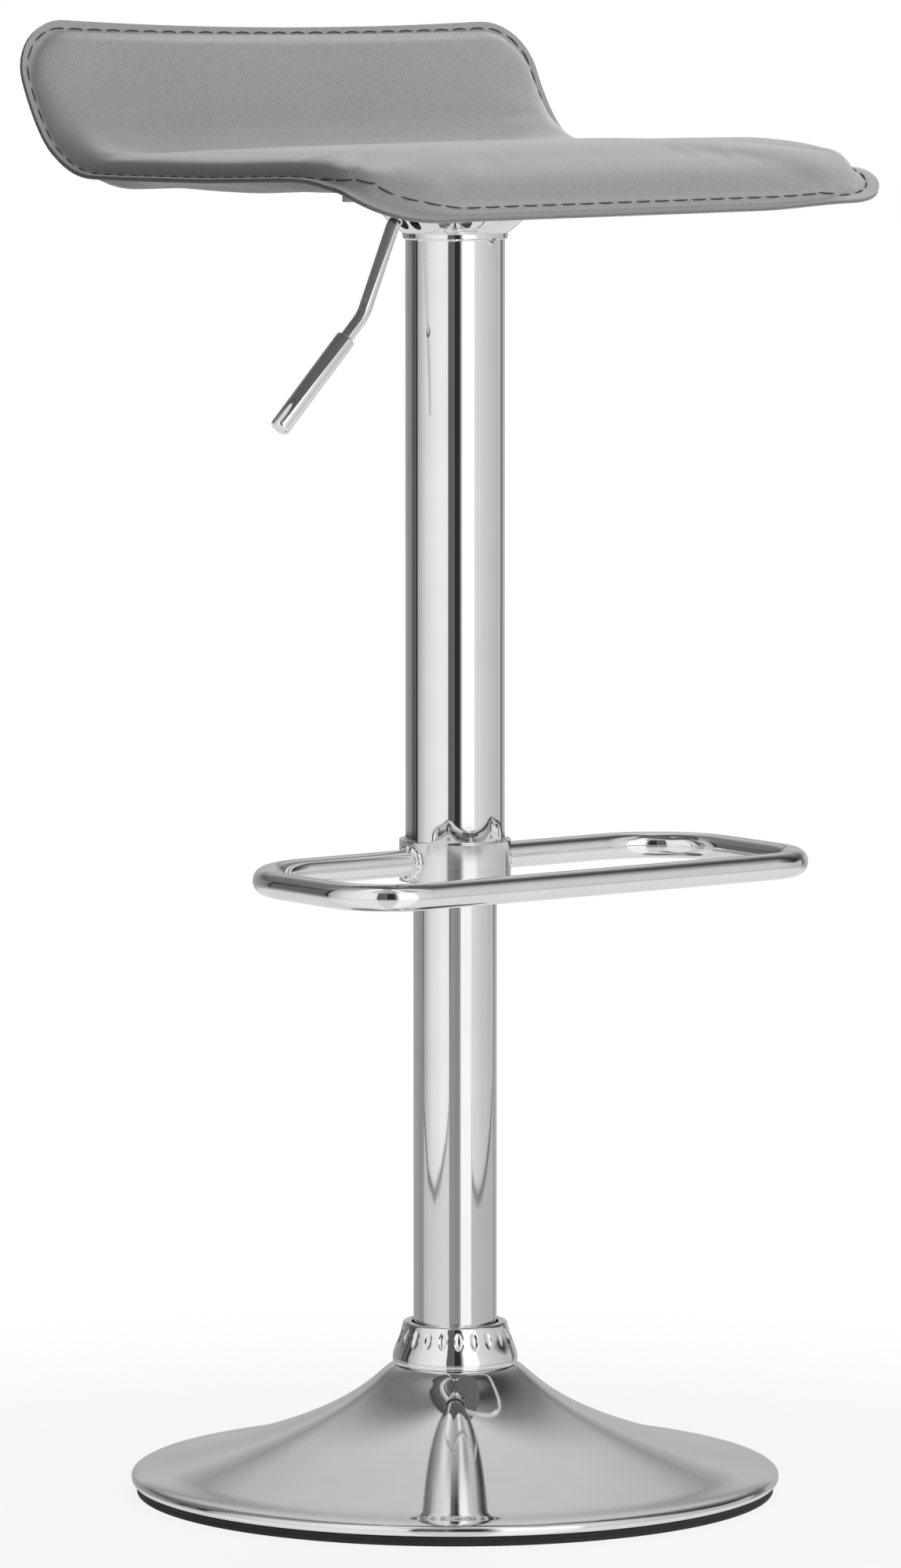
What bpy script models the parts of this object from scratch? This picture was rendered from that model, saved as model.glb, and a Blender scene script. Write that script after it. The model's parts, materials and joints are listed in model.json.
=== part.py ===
"""Gas-lift swivel bar stool: trumpet base, telescoping column, footrest loop and a padded wave seat.

Metres, +Z up. The origin is the centre of the base on the floor, the seat faces -Y and the lever is
on the sitter's right (-X). The stool stands fully raised.
"""

import math

import bmesh
import bpy
from mathutils import Matrix, Vector

# Fits
FIT = 0.0003                    # gap between pieces that touch or run in each other

# Base dish, rubber foot ring and the parts that clamp the column to it
DISH_RADIUS = 0.195
DISH_SHEET = 0.002
NECK_HEIGHT = 0.0785            # flat top of the dish, round the column
NECK_RADIUS = 0.0365
DISH_RIM_WIDTH = 0.0226         # from where the trumpet curve ends to the outside of the rolled rim
DISH_SHOULDER_HEIGHT = 0.0167
DISH_RIM_HEIGHT = 0.0095
DISH_EDGE_HEIGHT = 0.0058
DISH_EDGE_WIDTH = 0.005
FOOT_RING_SETBACK = 0.0032
FOOT_RING_WIDTH = 0.0095
FOOT_RING_LIP = 0.0042
TRIM_HEIGHT = 0.026
TRIM_TOP_RADIUS = 0.0316
TRIM_BOTTOM_RADIUS = 0.0375
TRIM_SHEET = 0.0012
TRIM_DIMPLES = 24
TRIM_DIMPLE_DEPTH = 0.0009
CLAMP_WASHER_RADIUS = 0.034
CLAMP_WASHER_THICKNESS = 0.003
NUT_ACROSS_CORNERS = 0.070
NUT_HEIGHT = 0.012

# Column tube, its guide bush and the thrust bearing at its foot
COLUMN_RADIUS = 0.025
COLUMN_WALL = 0.002
COLUMN_FOOT = 0.024             # underside of the closed foot, above the floor
COLUMN_FOOT_PLATE = 0.004
COLUMN_SHOULDER_WIDTH = 0.005
COLUMN_SHOULDER_HEIGHT = 0.006
BUSH_LENGTH = 0.085
BUSH_FLANGE = 0.004
RACE_RADIUS = 0.011
RACE_THICKNESS = 0.002
BALL_RADIUS = 0.0016
BALL_COUNT = 6
BALL_PITCH_RADIUS = 0.0082
CAGE_THICKNESS = 0.0016

# Gas lift
STROKE = 0.215
TUBE_RADIUS = 0.014
TUBE_WALL = 0.0015
TUBE_TOP_RADIUS = 0.0131
TUBE_HEAD = 0.017               # solid head round the valve pin
ROD_RADIUS = 0.005
ROD_END_RADIUS = 0.0038
ROD_TIP = 0.0095                # rod end below the column foot
ROD_SPIGOT_RADIUS = 0.003
ROD_GUIDE_LENGTH = 0.014
ROD_SEAL_LENGTH = 0.005
PISTON_LENGTH = 0.014
PISTON_SEAL_WIDTH = 0.0044
BUMPER_LENGTH = 0.033
BUMPER_RADIUS = 0.0105
FOOT_WASHER_RADIUS = 0.010
FOOT_WASHER_THICKNESS = 0.003
CLIP_RADIUS = 0.0072
CLIP_THICKNESS = 0.0016
CLIP_GROOVE_RADIUS = 0.003
CLIP_OPENING = math.radians(70)
VALVE_PIN_RADIUS = 0.002
VALVE_BUTTON_RADIUS = 0.003
VALVE_BUTTON_HEIGHT = 0.0033
VALVE_TRAVEL = 0.0034

# Seat plate, socket, cup and cover sleeve
PLATE_HEIGHT = 0.7815           # underside of the seat plate
PLATE_SIZE = 0.116
PLATE_CORNER = 0.012
PLATE_THICKNESS = 0.003
SOCKET_LENGTH = 0.061
SOCKET_RADIUS = 0.018
CUP_HEIGHT = 0.0257
CUP_TOP_RADIUS = 0.054
CUP_SHEET = 0.0015
CUP_BULGE = 0.0015
CUP_NECK = 0.0025
SLEEVE_RADIUS = 0.0297
SLEEVE_WALL = 0.0012
SLEEVE_LENGTH = 0.387
GLIDE_LENGTH = 0.021
GLIDE_FLANGE = 0.0014
LEVER_SLOT_WIDTH = 0.0115
SPARE_SLOT_WIDTH = 0.0066
SPARE_SLOT_TURN = math.radians(16.5)
SLOT_FOOT_RADIUS = 0.0355

# Footrest
COLLAR_RADIUS = 0.0334
COLLAR_HEIGHT = 0.025
COLLAR_BEVEL = 0.0005
FOOTREST_TUBE_RADIUS = 0.008
FOOTREST_TUBE_WALL = 0.0015
FOOTREST_WIDTH = 0.330          # between tube centres
FOOTREST_REACH = 0.144          # column axis to the front tube's centre
FOOTREST_REAR_BEND = 0.054
FOOTREST_FRONT_BEND = 0.038
SET_SCREW_RADIUS = 0.003

# Lever: it runs out of the cup along -X and bends down twice
LEVER_DROP = 0.0135             # rod centre below the seat plate
LEVER_ROD_RADIUS = 0.004
LEVER_INNER_END = 0.002
LEVER_PIVOT_REACH = 0.025
LEVER_CUP_BEND = 0.0439
LEVER_ELBOW = (0.0678, 0.0571)  # reach from the axis, drop below the rod's inner run
LEVER_END = (0.1294, 0.1222)
LEVER_CUP_BEND_RADIUS = 0.010
LEVER_ELBOW_RADIUS = 0.025
GRIP_RADIUS = 0.006
GRIP_LENGTH = 0.0715
GRIP_WALL_END = 0.003
PIVOT_PIN_RADIUS = 0.0015
PIVOT_HEAD_RADIUS = 0.0026
PIVOT_HEAD_LENGTH = 0.0012
BRACKET_EAR = 0.0018
BRACKET_LENGTH = 0.0115
BRACKET_DEPTH = 0.0185

# Padded seat: reaches are from the column axis, heights of the sewn edge from the underside
SEAT_WIDTH = 0.3835
BACK_REACH = 0.1869
BACK_HEIGHT = 0.0937
SHOULDER_REACH = 0.1716
SHOULDER_HEIGHT = 0.0548
LOIN_REACH = 0.1444
LOIN_HEIGHT = 0.0216
HOLLOW_REACH = 0.1015
HOLLOW_HEIGHT = 0.0083
MIDDLE_HEIGHT = 0.010
CREST_REACH = 0.1046
CREST_HEIGHT = 0.0141
ROLL_REACH = 0.1436
ROLL_HEIGHT = 0.0096
FRONT_REACH = 0.1882
FRONT_HEIGHT = -0.008
BACK_CORNER = 0.035
FRONT_CORNER = 0.0405
BACK_EDGE_DIP = 0.004
PAD_CROWN = 0.0128
LIP_WIDTH = 0.005
LEATHER = 0.0014
BOARD_THICKNESS = 0.009
BOARD_INSET = 0.028
FOAM_INSET = 0.018
HEEL_REACH = 0.1021             # where the underside is lowest and begins to turn up into the back
HEEL_RADIUS = 0.089
HEEL_TURN = math.radians(66)
HEEL_DROP = 0.0045              # the heel hangs this far below the flat underside
HEEL_FLAT = 0.0632              # where the flat underside begins to fall towards the heel
BOARD_BEVEL = 0.0055           # most that the board's underside rises towards its sides
UNDER_FLAT = 0.0655             # half width of the flat underside, round the plate
BACK_BOARD_END = 0.9            # board ends, in steps along the seam line
FRONT_BOARD_END = 6.1

# Seat fasteners
BOLT_SPACING = 0.088
BOLT_RADIUS = 0.003
BOLT_HEAD_ACROSS_CORNERS = 0.0115
BOLT_HEAD_HEIGHT = 0.004
BOLT_WASHER_RADIUS = 0.0075
BOLT_WASHER_THICKNESS = 0.0012
TEE_BARREL_WALL = 0.0012
TEE_FLANGE_RADIUS = 0.0095
TEE_FLANGE_THICKNESS = 0.0013

# Facets round a full turn
DISH_FACETS = 40
TUBE_FACETS = 28
SMALL_FACETS = 20

# Heights and places that follow from the sizes above
DISH_UNDERSIDE = NECK_HEIGHT - DISH_SHEET
DISH_SHOULDER_RADIUS = DISH_RADIUS - DISH_RIM_WIDTH
FOOT_RING_RADIUS = DISH_RADIUS - FOOT_RING_SETBACK
COLUMN_BORE = COLUMN_RADIUS - COLUMN_WALL
FOOT_TOP = COLUMN_FOOT + COLUMN_FOOT_PLATE
LOWER_RACE_TOP = FOOT_TOP + FIT + RACE_THICKNESS
BALL_HEIGHT = LOWER_RACE_TOP + FIT + BALL_RADIUS
UPPER_RACE_BOTTOM = BALL_HEIGHT + BALL_RADIUS + FIT
ROD_SHOULDER = UPPER_RACE_BOTTOM + RACE_THICKNESS + FIT
BUMPER_TOP = ROD_SHOULDER + BUMPER_LENGTH
TUBE_BOTTOM = BUMPER_TOP + STROKE + 2 * FIT
TUBE_BORE = TUBE_RADIUS - TUBE_WALL
ROD_GUIDE_BOTTOM = TUBE_BOTTOM + 0.001
ROD_SEAL_BOTTOM = ROD_GUIDE_BOTTOM + ROD_GUIDE_LENGTH + FIT
PISTON_BOTTOM = ROD_SEAL_BOTTOM + ROD_SEAL_LENGTH + 0.003
PLATE_TOP = PLATE_HEIGHT + PLATE_THICKNESS
SOCKET_TOP = PLATE_HEIGHT - FIT
SOCKET_BOTTOM = SOCKET_TOP - SOCKET_LENGTH
COLUMN_TOP = SOCKET_BOTTOM - STROKE - 0.026
CUP_TOP = PLATE_HEIGHT - FIT
CUP_BOTTOM = CUP_TOP - CUP_HEIGHT
SLEEVE_TOP = CUP_BOTTOM + CUP_NECK
SLEEVE_BOTTOM = SLEEVE_TOP - SLEEVE_LENGTH
SLEEVE_BORE = SLEEVE_RADIUS - SLEEVE_WALL
COLLAR_BOTTOM = SLEEVE_BOTTOM - 0.001
FOOTREST_HEIGHT = COLLAR_BOTTOM + COLLAR_HEIGHT / 2
LEVER_HEIGHT = PLATE_HEIGHT - LEVER_DROP
VALVE_BUTTON_TOP = LEVER_HEIGHT - LEVER_ROD_RADIUS - FIT
VALVE_BUTTON_BOTTOM = VALVE_BUTTON_TOP - VALVE_BUTTON_HEIGHT
TUBE_TOP = VALVE_BUTTON_BOTTOM - VALVE_TRAVEL
PAD_UNDERSIDE = PLATE_TOP + FIT
BOARD_BOTTOM = LEATHER + FIT    # above the pad's underside
BOARD_TOP = BOARD_BOTTOM + BOARD_THICKNESS
SEAM_LINE = [
    (BACK_REACH, BACK_HEIGHT),
    (SHOULDER_REACH, SHOULDER_HEIGHT),
    (LOIN_REACH, LOIN_HEIGHT),
    (HOLLOW_REACH, HOLLOW_HEIGHT),
    (0.0, MIDDLE_HEIGHT),
    (-CREST_REACH, CREST_HEIGHT),
    (-ROLL_REACH, ROLL_HEIGHT),
    (-FRONT_REACH, FRONT_HEIGHT),
]
BOLT_PLACES = [(sx * BOLT_SPACING / 2, sy * BOLT_SPACING / 2) for sx in (-1, 1) for sy in (-1, 1)]


# Shared helpers

def clear_scene():
    for obj in list(bpy.data.objects):
        bpy.data.objects.remove(obj, do_unlink=True)


def finish_material(name, colour, roughness, metallic):
    material = bpy.data.materials.new(name)
    material.use_nodes = True
    shader = material.node_tree.nodes["Principled BSDF"]
    shader.inputs["Base Color"].default_value = (*colour, 1.0)
    shader.inputs["Roughness"].default_value = roughness
    shader.inputs["Metallic"].default_value = metallic
    return material


def make_materials():
    return {
        "chrome": finish_material("chrome", (0.80, 0.80, 0.81), 0.06, 1.0),
        "satin_chrome": finish_material("satin_chrome", (0.72, 0.72, 0.72), 0.22, 1.0),
        "steel": finish_material("steel", (0.55, 0.55, 0.56), 0.35, 1.0),
        "black_steel": finish_material("black_steel", (0.012, 0.012, 0.013), 0.45, 0.0),
        "rubber": finish_material("rubber", (0.018, 0.018, 0.018), 0.8, 0.0),
        "nylon": finish_material("nylon", (0.035, 0.035, 0.037), 0.5, 0.0),
        "leather": finish_material("leather", (0.31, 0.31, 0.30), 0.5, 0.0),
        "foam": finish_material("foam", (0.75, 0.68, 0.45), 0.95, 0.0),
        "plywood": finish_material("plywood", (0.52, 0.36, 0.20), 0.7, 0.0),
    }


def add_empty(name, parent=None, location=(0, 0, 0)):
    empty = bpy.data.objects.new(name, None)
    empty.empty_display_size = 0.05
    empty.parent = parent
    empty.location = location
    bpy.context.scene.collection.objects.link(empty)
    return empty


def add_part(name, mesh, parent, material, smooth_angle=math.radians(35)):
    mesh.materials.append(material)
    mesh.shade_smooth()
    mesh.set_sharp_from_angle(angle=smooth_angle)
    obj = bpy.data.objects.new(name, mesh)
    obj.parent = parent
    bpy.context.scene.collection.objects.link(obj)
    return obj


def add_mesh(name, points, faces, parent, material):
    mesh = bpy.data.meshes.new(name)
    mesh.from_pydata([tuple(p) for p in points], [], faces)
    shape = bmesh.new()
    shape.from_mesh(mesh)
    bmesh.ops.recalc_face_normals(shape, faces=shape.faces)
    if shape.calc_volume(signed=True) < 0:
        bmesh.ops.reverse_faces(shape, faces=shape.faces)
    shape.to_mesh(mesh)
    shape.free()
    return add_part(name, mesh, parent, material)


def revolve(name, profile, parent, material, facets=TUBE_FACETS, closed=True):
    """Turns (radius, height) points about Z. A closed profile goes down its outer side."""
    mesh = bpy.data.meshes.new(name)
    count = len(profile)
    edges = [(i, i + 1) for i in range(count - 1)]
    if closed:
        edges.append((count - 1, 0))
    mesh.from_pydata([(r, 0, z) for r, z in profile], edges, [])
    obj = add_part(name, mesh, parent, material)
    screw = obj.modifiers.new("turn", "SCREW")
    screw.axis = "Z"
    screw.angle = math.tau
    screw.steps = facets
    screw.render_steps = facets
    screw.use_merge_vertices = True
    screw.merge_threshold = 1e-5
    screw.use_smooth_shade = True
    return obj


def turned_ring(name, inner, outer, bottom, top, parent, material, facets=SMALL_FACETS):
    profile = [(outer, top), (outer, bottom), (inner, bottom), (inner, top)]
    return revolve(name, profile, parent, material, facets)


def cutter_cylinder(name, radius, start, end, facets=SMALL_FACETS):
    start = Vector(start)
    end = Vector(end)
    mesh = bpy.data.meshes.new(name)
    shape = bmesh.new()
    length = (end - start).length
    bmesh.ops.create_cone(
        shape, cap_ends=True, segments=facets, radius1=radius, radius2=radius, depth=length)
    turn = (end - start).to_track_quat("Z", "Y").to_matrix().to_4x4()
    shape.transform(Matrix.Translation((start + end) / 2) @ turn)
    shape.to_mesh(mesh)
    shape.free()
    return as_cutter(name, mesh)


def cutter_box(name, low, high, turn=0.0):
    mesh = bpy.data.meshes.new(name)
    shape = bmesh.new()
    bmesh.ops.create_cube(shape, size=1.0)
    low = Vector(low)
    high = Vector(high)
    place = Matrix.Translation((low + high) / 2) @ Matrix.Diagonal((*(high - low), 1.0))
    shape.transform(Matrix.Rotation(turn, 4, "Z") @ place)
    shape.to_mesh(mesh)
    shape.free()
    return as_cutter(name, mesh)


def as_cutter(name, mesh):
    obj = bpy.data.objects.new(name, mesh)
    obj.hide_render = True
    obj.display_type = "WIRE"
    bpy.context.scene.collection.objects.link(obj)
    return obj


def combine(obj, other, operation="DIFFERENCE"):
    boolean = obj.modifiers.new(other.name, "BOOLEAN")
    boolean.operation = operation
    boolean.solver = "EXACT"
    boolean.object = other


def bezier(points, count):
    """Points along a cubic Bezier curve, both ends included."""
    a, b, c, d = [Vector(p) for p in points]
    steps = [i / (count - 1) for i in range(count)]
    curve = []
    for t in steps:
        u = 1 - t
        curve.append(a * u ** 3 + 3 * b * t * u ** 2 + 3 * c * t * t * u + d * t ** 3)
    return curve


def smooth_step(value):
    value = min(max(value, 0.0), 1.0)
    return value * value * (3 - 2 * value)


def filleted(corners, radii, steps):
    """A path through corner points with each inner corner rounded to its bend radius."""
    path = [Vector(corners[0])]
    for before, corner, after, radius in zip(corners, corners[1:], corners[2:], radii):
        corner = Vector(corner)
        to_before = (Vector(before) - corner).normalized()
        to_after = (Vector(after) - corner).normalized()
        half = to_before.angle(to_after) / 2
        centre = corner + (to_before + to_after).normalized() * (radius / math.sin(half))
        first = (corner + to_before * (radius / math.tan(half)) - centre).normalized()
        last = (corner + to_after * (radius / math.tan(half)) - centre).normalized()
        for i in range(steps + 1):
            path.append(centre + first.slerp(last, i / steps) * radius)
    path.append(Vector(corners[-1]))
    return path


def tube_rings(path, across, radius, sides):
    """Rings of points round a path that lies in the plane square to across."""
    across = Vector(across)
    rings = []
    for i, point in enumerate(path):
        ahead = path[min(i + 1, len(path) - 1)] - point
        behind = point - path[max(i - 1, 0)]
        tangent = (ahead.normalized() + behind.normalized()).normalized()
        side = tangent.cross(across)
        angles = [math.tau * k / sides for k in range(sides)]
        offsets = [side * math.cos(a) + across * math.sin(a) for a in angles]
        rings.append([point + offset * radius for offset in offsets])
    return rings


def bridge(rings_at, sides, faces):
    """Quads between rings of points whose first indices are given."""
    for start, after in zip(rings_at, rings_at[1:]):
        for k in range(sides):
            n = (k + 1) % sides
            faces.append((start + k, start + n, after + n, after + k))


# Base: dish, foot ring, trim ring and clamp

def dish_outline():
    """Outer side of the dish, from the flat neck to the edge that turns under."""
    neck = (NECK_RADIUS, NECK_HEIGHT - 0.0007)
    shoulder = (DISH_SHOULDER_RADIUS, DISH_SHOULDER_HEIGHT)
    flare = [
        neck,
        (NECK_RADIUS + 0.0135, NECK_HEIGHT - 0.0062),
        (NECK_RADIUS + 0.018, NECK_HEIGHT - 0.0318),
        shoulder,
    ]
    rim = [
        shoulder,
        (DISH_SHOULDER_RADIUS + 0.0115, DISH_SHOULDER_HEIGHT - 0.0029),
        (DISH_RADIUS, DISH_RIM_HEIGHT + 0.0052),
        (DISH_RADIUS, DISH_RIM_HEIGHT),
    ]
    return bezier(flare, 9) + bezier(rim, 5)[1:]


def make_base_dish(parent, chrome):
    outer = dish_outline()
    bore = COLUMN_RADIUS + FIT
    edge = [(DISH_RADIUS - 0.0008, DISH_EDGE_HEIGHT + 0.0012), (DISH_RADIUS - 0.0025, DISH_EDGE_HEIGHT)]
    lip = DISH_RADIUS - DISH_EDGE_WIDTH - 0.0015
    profile = [(bore, NECK_HEIGHT), (NECK_RADIUS - 0.0025, NECK_HEIGHT)] + [tuple(p) for p in outer] + edge
    profile += [(lip, DISH_EDGE_HEIGHT), (lip, DISH_EDGE_HEIGHT + DISH_SHEET)]
    inner = []
    for before, point, after in list(zip(outer, outer[1:], outer[2:]))[::2]:
        along = (after - before).normalized()
        inner.append(point + Vector((along.y, -along.x)) * DISH_SHEET)
    rim_inside = DISH_RADIUS - DISH_SHEET
    profile += [(rim_inside - 0.0008, DISH_EDGE_HEIGHT + DISH_SHEET), (rim_inside, DISH_RIM_HEIGHT)]
    profile += [tuple(p) for p in reversed(inner)]
    profile += [(NECK_RADIUS - 0.003, DISH_UNDERSIDE), (bore, DISH_UNDERSIDE)]
    return revolve("base_dish", profile, parent, chrome, DISH_FACETS)


def make_foot_ring(parent, rubber):
    top = DISH_EDGE_HEIGHT - FIT
    lip_radius = DISH_RADIUS - DISH_EDGE_WIDTH - 0.0015 - FIT
    inner = FOOT_RING_RADIUS - FOOT_RING_WIDTH
    profile = [
        (FOOT_RING_RADIUS, top),
        (FOOT_RING_RADIUS, 0.001),
        (FOOT_RING_RADIUS - 0.001, 0),
        (inner, 0),
        (inner, top + FOOT_RING_LIP),
        (lip_radius, top + FOOT_RING_LIP),
        (lip_radius, top),
    ]
    return revolve("base_rubber_ring", profile, parent, rubber, DISH_FACETS)


def dish_height_at(radius):
    outline = dish_outline()
    for a, b in zip(outline, outline[1:]):
        if a.x <= radius <= b.x:
            return a.y + (b.y - a.y) * (radius - a.x) / (b.x - a.x)
    return NECK_HEIGHT


def make_trim_ring(parent, chrome):
    """Tapered cover ring with a row of upright dimples pressed in round it."""
    bottom = dish_height_at(TRIM_BOTTOM_RADIUS) + FIT
    inner_bottom = dish_height_at(TRIM_BOTTOM_RADIUS - TRIM_SHEET) + FIT
    top = bottom + TRIM_HEIGHT
    run = TRIM_BOTTOM_RADIUS - TRIM_TOP_RADIUS
    mouth = COLUMN_RADIUS + 0.0012
    pressed = (0.30, 0.62)
    points = []
    columns = 2 * TRIM_DIMPLES
    for k in range(columns):
        angle = math.tau * k / columns
        depth = TRIM_DIMPLE_DEPTH if k % 2 else 0.0
        section = [(mouth, top - 0.0004), (TRIM_TOP_RADIUS - 0.0012, top), (TRIM_TOP_RADIUS, top - 0.0012)]
        for share in pressed:
            section.append((TRIM_TOP_RADIUS + run * share - depth, top - TRIM_HEIGHT * share))
        section += [(TRIM_BOTTOM_RADIUS - 0.0004, bottom + 0.004), (TRIM_BOTTOM_RADIUS, bottom)]
        section.append((TRIM_BOTTOM_RADIUS - TRIM_SHEET, inner_bottom))
        section.append((TRIM_TOP_RADIUS - TRIM_SHEET - 0.0004, top - 0.0025))
        section.append((mouth, top - 0.0004 - TRIM_SHEET))
        points += [(r * math.cos(angle), r * math.sin(angle), z) for r, z in section]
        size = len(section)
    faces = []
    for k in range(columns):
        here = k * size
        there = ((k + 1) % columns) * size
        for j in range(size):
            n = (j + 1) % size
            faces.append((here + j, here + n, there + n, there + j))
    return add_mesh("trim_ring", points, faces, parent, chrome)


def make_column_nut(parent, steel, top):
    mesh = bpy.data.meshes.new("column_nut")
    shape = bmesh.new()
    radius = NUT_ACROSS_CORNERS / 2
    bmesh.ops.create_cone(
        shape, cap_ends=True, segments=6, radius1=radius, radius2=radius, depth=NUT_HEIGHT)
    shape.transform(Matrix.Translation((0, 0, top - NUT_HEIGHT / 2)))
    shape.to_mesh(mesh)
    shape.free()
    nut = add_part("column_nut", mesh, parent, steel)
    below = (0, 0, top - 2 * NUT_HEIGHT)
    above = (0, 0, top + NUT_HEIGHT)
    combine(nut, cutter_cylinder("nut_bore", COLUMN_RADIUS + FIT, below, above, TUBE_FACETS))
    return nut


def make_column(parent, chrome):
    shoulder = COLUMN_RADIUS + COLUMN_SHOULDER_WIDTH
    shoulder_bottom = NECK_HEIGHT + FIT
    shoulder_top = shoulder_bottom + COLUMN_SHOULDER_HEIGHT
    rod_hole = ROD_END_RADIUS + 2 * FIT
    profile = [
        (COLUMN_RADIUS, COLUMN_TOP),
        (COLUMN_RADIUS, shoulder_top),
        (shoulder, shoulder_top),
        (shoulder, shoulder_bottom),
        (COLUMN_RADIUS, shoulder_bottom),
        (COLUMN_RADIUS, COLUMN_FOOT),
        (rod_hole, COLUMN_FOOT),
        (rod_hole, FOOT_TOP),
        (COLUMN_BORE, FOOT_TOP),
        (COLUMN_BORE, COLUMN_TOP),
    ]
    return revolve("column_tube", profile, parent, chrome)


def make_guide_bush(parent, nylon):
    outer = COLUMN_BORE - FIT
    bore = TUBE_RADIUS + FIT
    seat = COLUMN_TOP + FIT
    profile = [
        (COLUMN_RADIUS, seat + BUSH_FLANGE),
        (COLUMN_RADIUS, seat),
        (outer, seat),
        (outer, COLUMN_TOP - BUSH_LENGTH),
        (bore, COLUMN_TOP - BUSH_LENGTH),
        (bore, seat + BUSH_FLANGE),
    ]
    return revolve("guide_bush", profile, parent, nylon)


def make_bearing(base, rod, materials):
    """Thrust bearing: two flat races with a caged row of balls, on the closed column foot."""
    hole = ROD_END_RADIUS + FIT
    steel = materials["steel"]
    upper_top = UPPER_RACE_BOTTOM + RACE_THICKNESS
    turned_ring("bearing_lower_race", hole + FIT, RACE_RADIUS, FOOT_TOP + FIT, LOWER_RACE_TOP, base, steel)
    turned_ring("bearing_upper_race", hole, RACE_RADIUS, UPPER_RACE_BOTTOM, upper_top, rod, steel)
    pocket = BALL_RADIUS + FIT
    inner = BALL_PITCH_RADIUS - pocket - 0.0006
    outer = BALL_PITCH_RADIUS + pocket + 0.0006
    cage_bottom = BALL_HEIGHT - CAGE_THICKNESS / 2
    cage_top = BALL_HEIGHT + CAGE_THICKNESS / 2
    cage = turned_ring("bearing_cage", inner, outer, cage_bottom, cage_top, base, materials["nylon"])
    for k in range(BALL_COUNT):
        angle = math.tau * k / BALL_COUNT
        x = BALL_PITCH_RADIUS * math.cos(angle)
        y = BALL_PITCH_RADIUS * math.sin(angle)
        below = (x, y, BALL_HEIGHT - CAGE_THICKNESS)
        above = (x, y, BALL_HEIGHT + CAGE_THICKNESS)
        combine(cage, cutter_cylinder(f"pocket_{k + 1}", pocket, below, above, 10))
        mesh = bpy.data.meshes.new(f"bearing_ball_{k + 1}")
        shape = bmesh.new()
        bmesh.ops.create_icosphere(shape, subdivisions=2, radius=BALL_RADIUS)
        shape.to_mesh(mesh)
        shape.free()
        ball = add_part(f"bearing_ball_{k + 1}", mesh, base, materials["steel"], math.pi)
        ball.location = (x, y, BALL_HEIGHT)


def make_base(base, materials):
    make_base_dish(base, materials["chrome"])
    make_foot_ring(base, materials["rubber"])
    make_trim_ring(base, materials["chrome"])
    make_column(base, materials["chrome"])
    washer_top = DISH_UNDERSIDE - FIT
    washer_bottom = washer_top - CLAMP_WASHER_THICKNESS
    turned_ring("clamp_washer", COLUMN_RADIUS + FIT, CLAMP_WASHER_RADIUS, washer_bottom, washer_top,
                base, materials["steel"], TUBE_FACETS)
    make_column_nut(base, materials["steel"], washer_bottom - FIT)
    make_guide_bush(base, materials["nylon"])


# Gas lift

def make_piston_rod(parent, materials):
    clip_top = COLUMN_FOOT - 2 * FIT - FOOT_WASHER_THICKNESS
    groove_top = clip_top + FIT
    groove_bottom = clip_top - CLIP_THICKNESS - FIT
    spigot_bottom = PISTON_BOTTOM - FIT
    spigot_top = PISTON_BOTTOM + PISTON_LENGTH + 0.002
    profile = [
        (0, spigot_top),
        (ROD_SPIGOT_RADIUS, spigot_top),
        (ROD_SPIGOT_RADIUS, spigot_bottom),
        (ROD_RADIUS, spigot_bottom),
        (ROD_RADIUS, ROD_SHOULDER),
        (ROD_END_RADIUS, ROD_SHOULDER),
        (ROD_END_RADIUS, groove_top),
        (CLIP_GROOVE_RADIUS, groove_top),
        (CLIP_GROOVE_RADIUS, groove_bottom),
        (ROD_END_RADIUS, groove_bottom),
        (ROD_END_RADIUS - 0.0006, COLUMN_FOOT - ROD_TIP),
        (0, COLUMN_FOOT - ROD_TIP),
    ]
    revolve("piston_rod", profile, parent, materials["chrome"], SMALL_FACETS, closed=False)
    make_retaining_clip(parent, materials["steel"], clip_top)
    turned_ring("foot_washer", ROD_END_RADIUS + FIT, FOOT_WASHER_RADIUS, clip_top + FIT, COLUMN_FOOT - FIT,
                parent, materials["steel"])


def make_retaining_clip(parent, steel, top):
    """Spring clip: a flat ring with an opening, snapped into the groove at the rod's end."""
    mesh = bpy.data.meshes.new("retaining_clip")
    shape = bmesh.new()
    inner = CLIP_GROOVE_RADIUS + FIT
    bottom = top - CLIP_THICKNESS
    corners = [(inner, top), (CLIP_RADIUS, top), (CLIP_RADIUS, bottom), (inner, bottom)]
    section = shape.faces.new([shape.verts.new((r, 0, z)) for r, z in corners])
    start = [section, *section.edges, *section.verts]
    swept = bmesh.ops.spin(shape, geom=start, axis=(0, 0, 1), cent=(0, 0, 0),
                           angle=math.tau - CLIP_OPENING, steps=18)
    assert swept["geom_last"]
    bmesh.ops.recalc_face_normals(shape, faces=shape.faces)
    shape.to_mesh(mesh)
    shape.free()
    return add_part("retaining_clip", mesh, parent, steel)


def make_piston(parent, materials):
    radius = TUBE_BORE - 2 * FIT
    bore = ROD_SPIGOT_RADIUS + FIT
    middle = PISTON_BOTTOM + PISTON_LENGTH / 2
    groove = radius - 0.0016
    low = middle - PISTON_SEAL_WIDTH / 2
    high = middle + PISTON_SEAL_WIDTH / 2
    profile = [
        (radius, PISTON_BOTTOM + PISTON_LENGTH),
        (radius, high + FIT),
        (groove, high + FIT),
        (groove, low - FIT),
        (radius, low - FIT),
        (radius, PISTON_BOTTOM),
        (bore, PISTON_BOTTOM),
        (bore, PISTON_BOTTOM + PISTON_LENGTH),
    ]
    revolve("piston", profile, parent, materials["steel"], SMALL_FACETS)
    turned_ring("piston_seal", groove + FIT, TUBE_BORE - FIT, low, high, parent, materials["rubber"])


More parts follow.
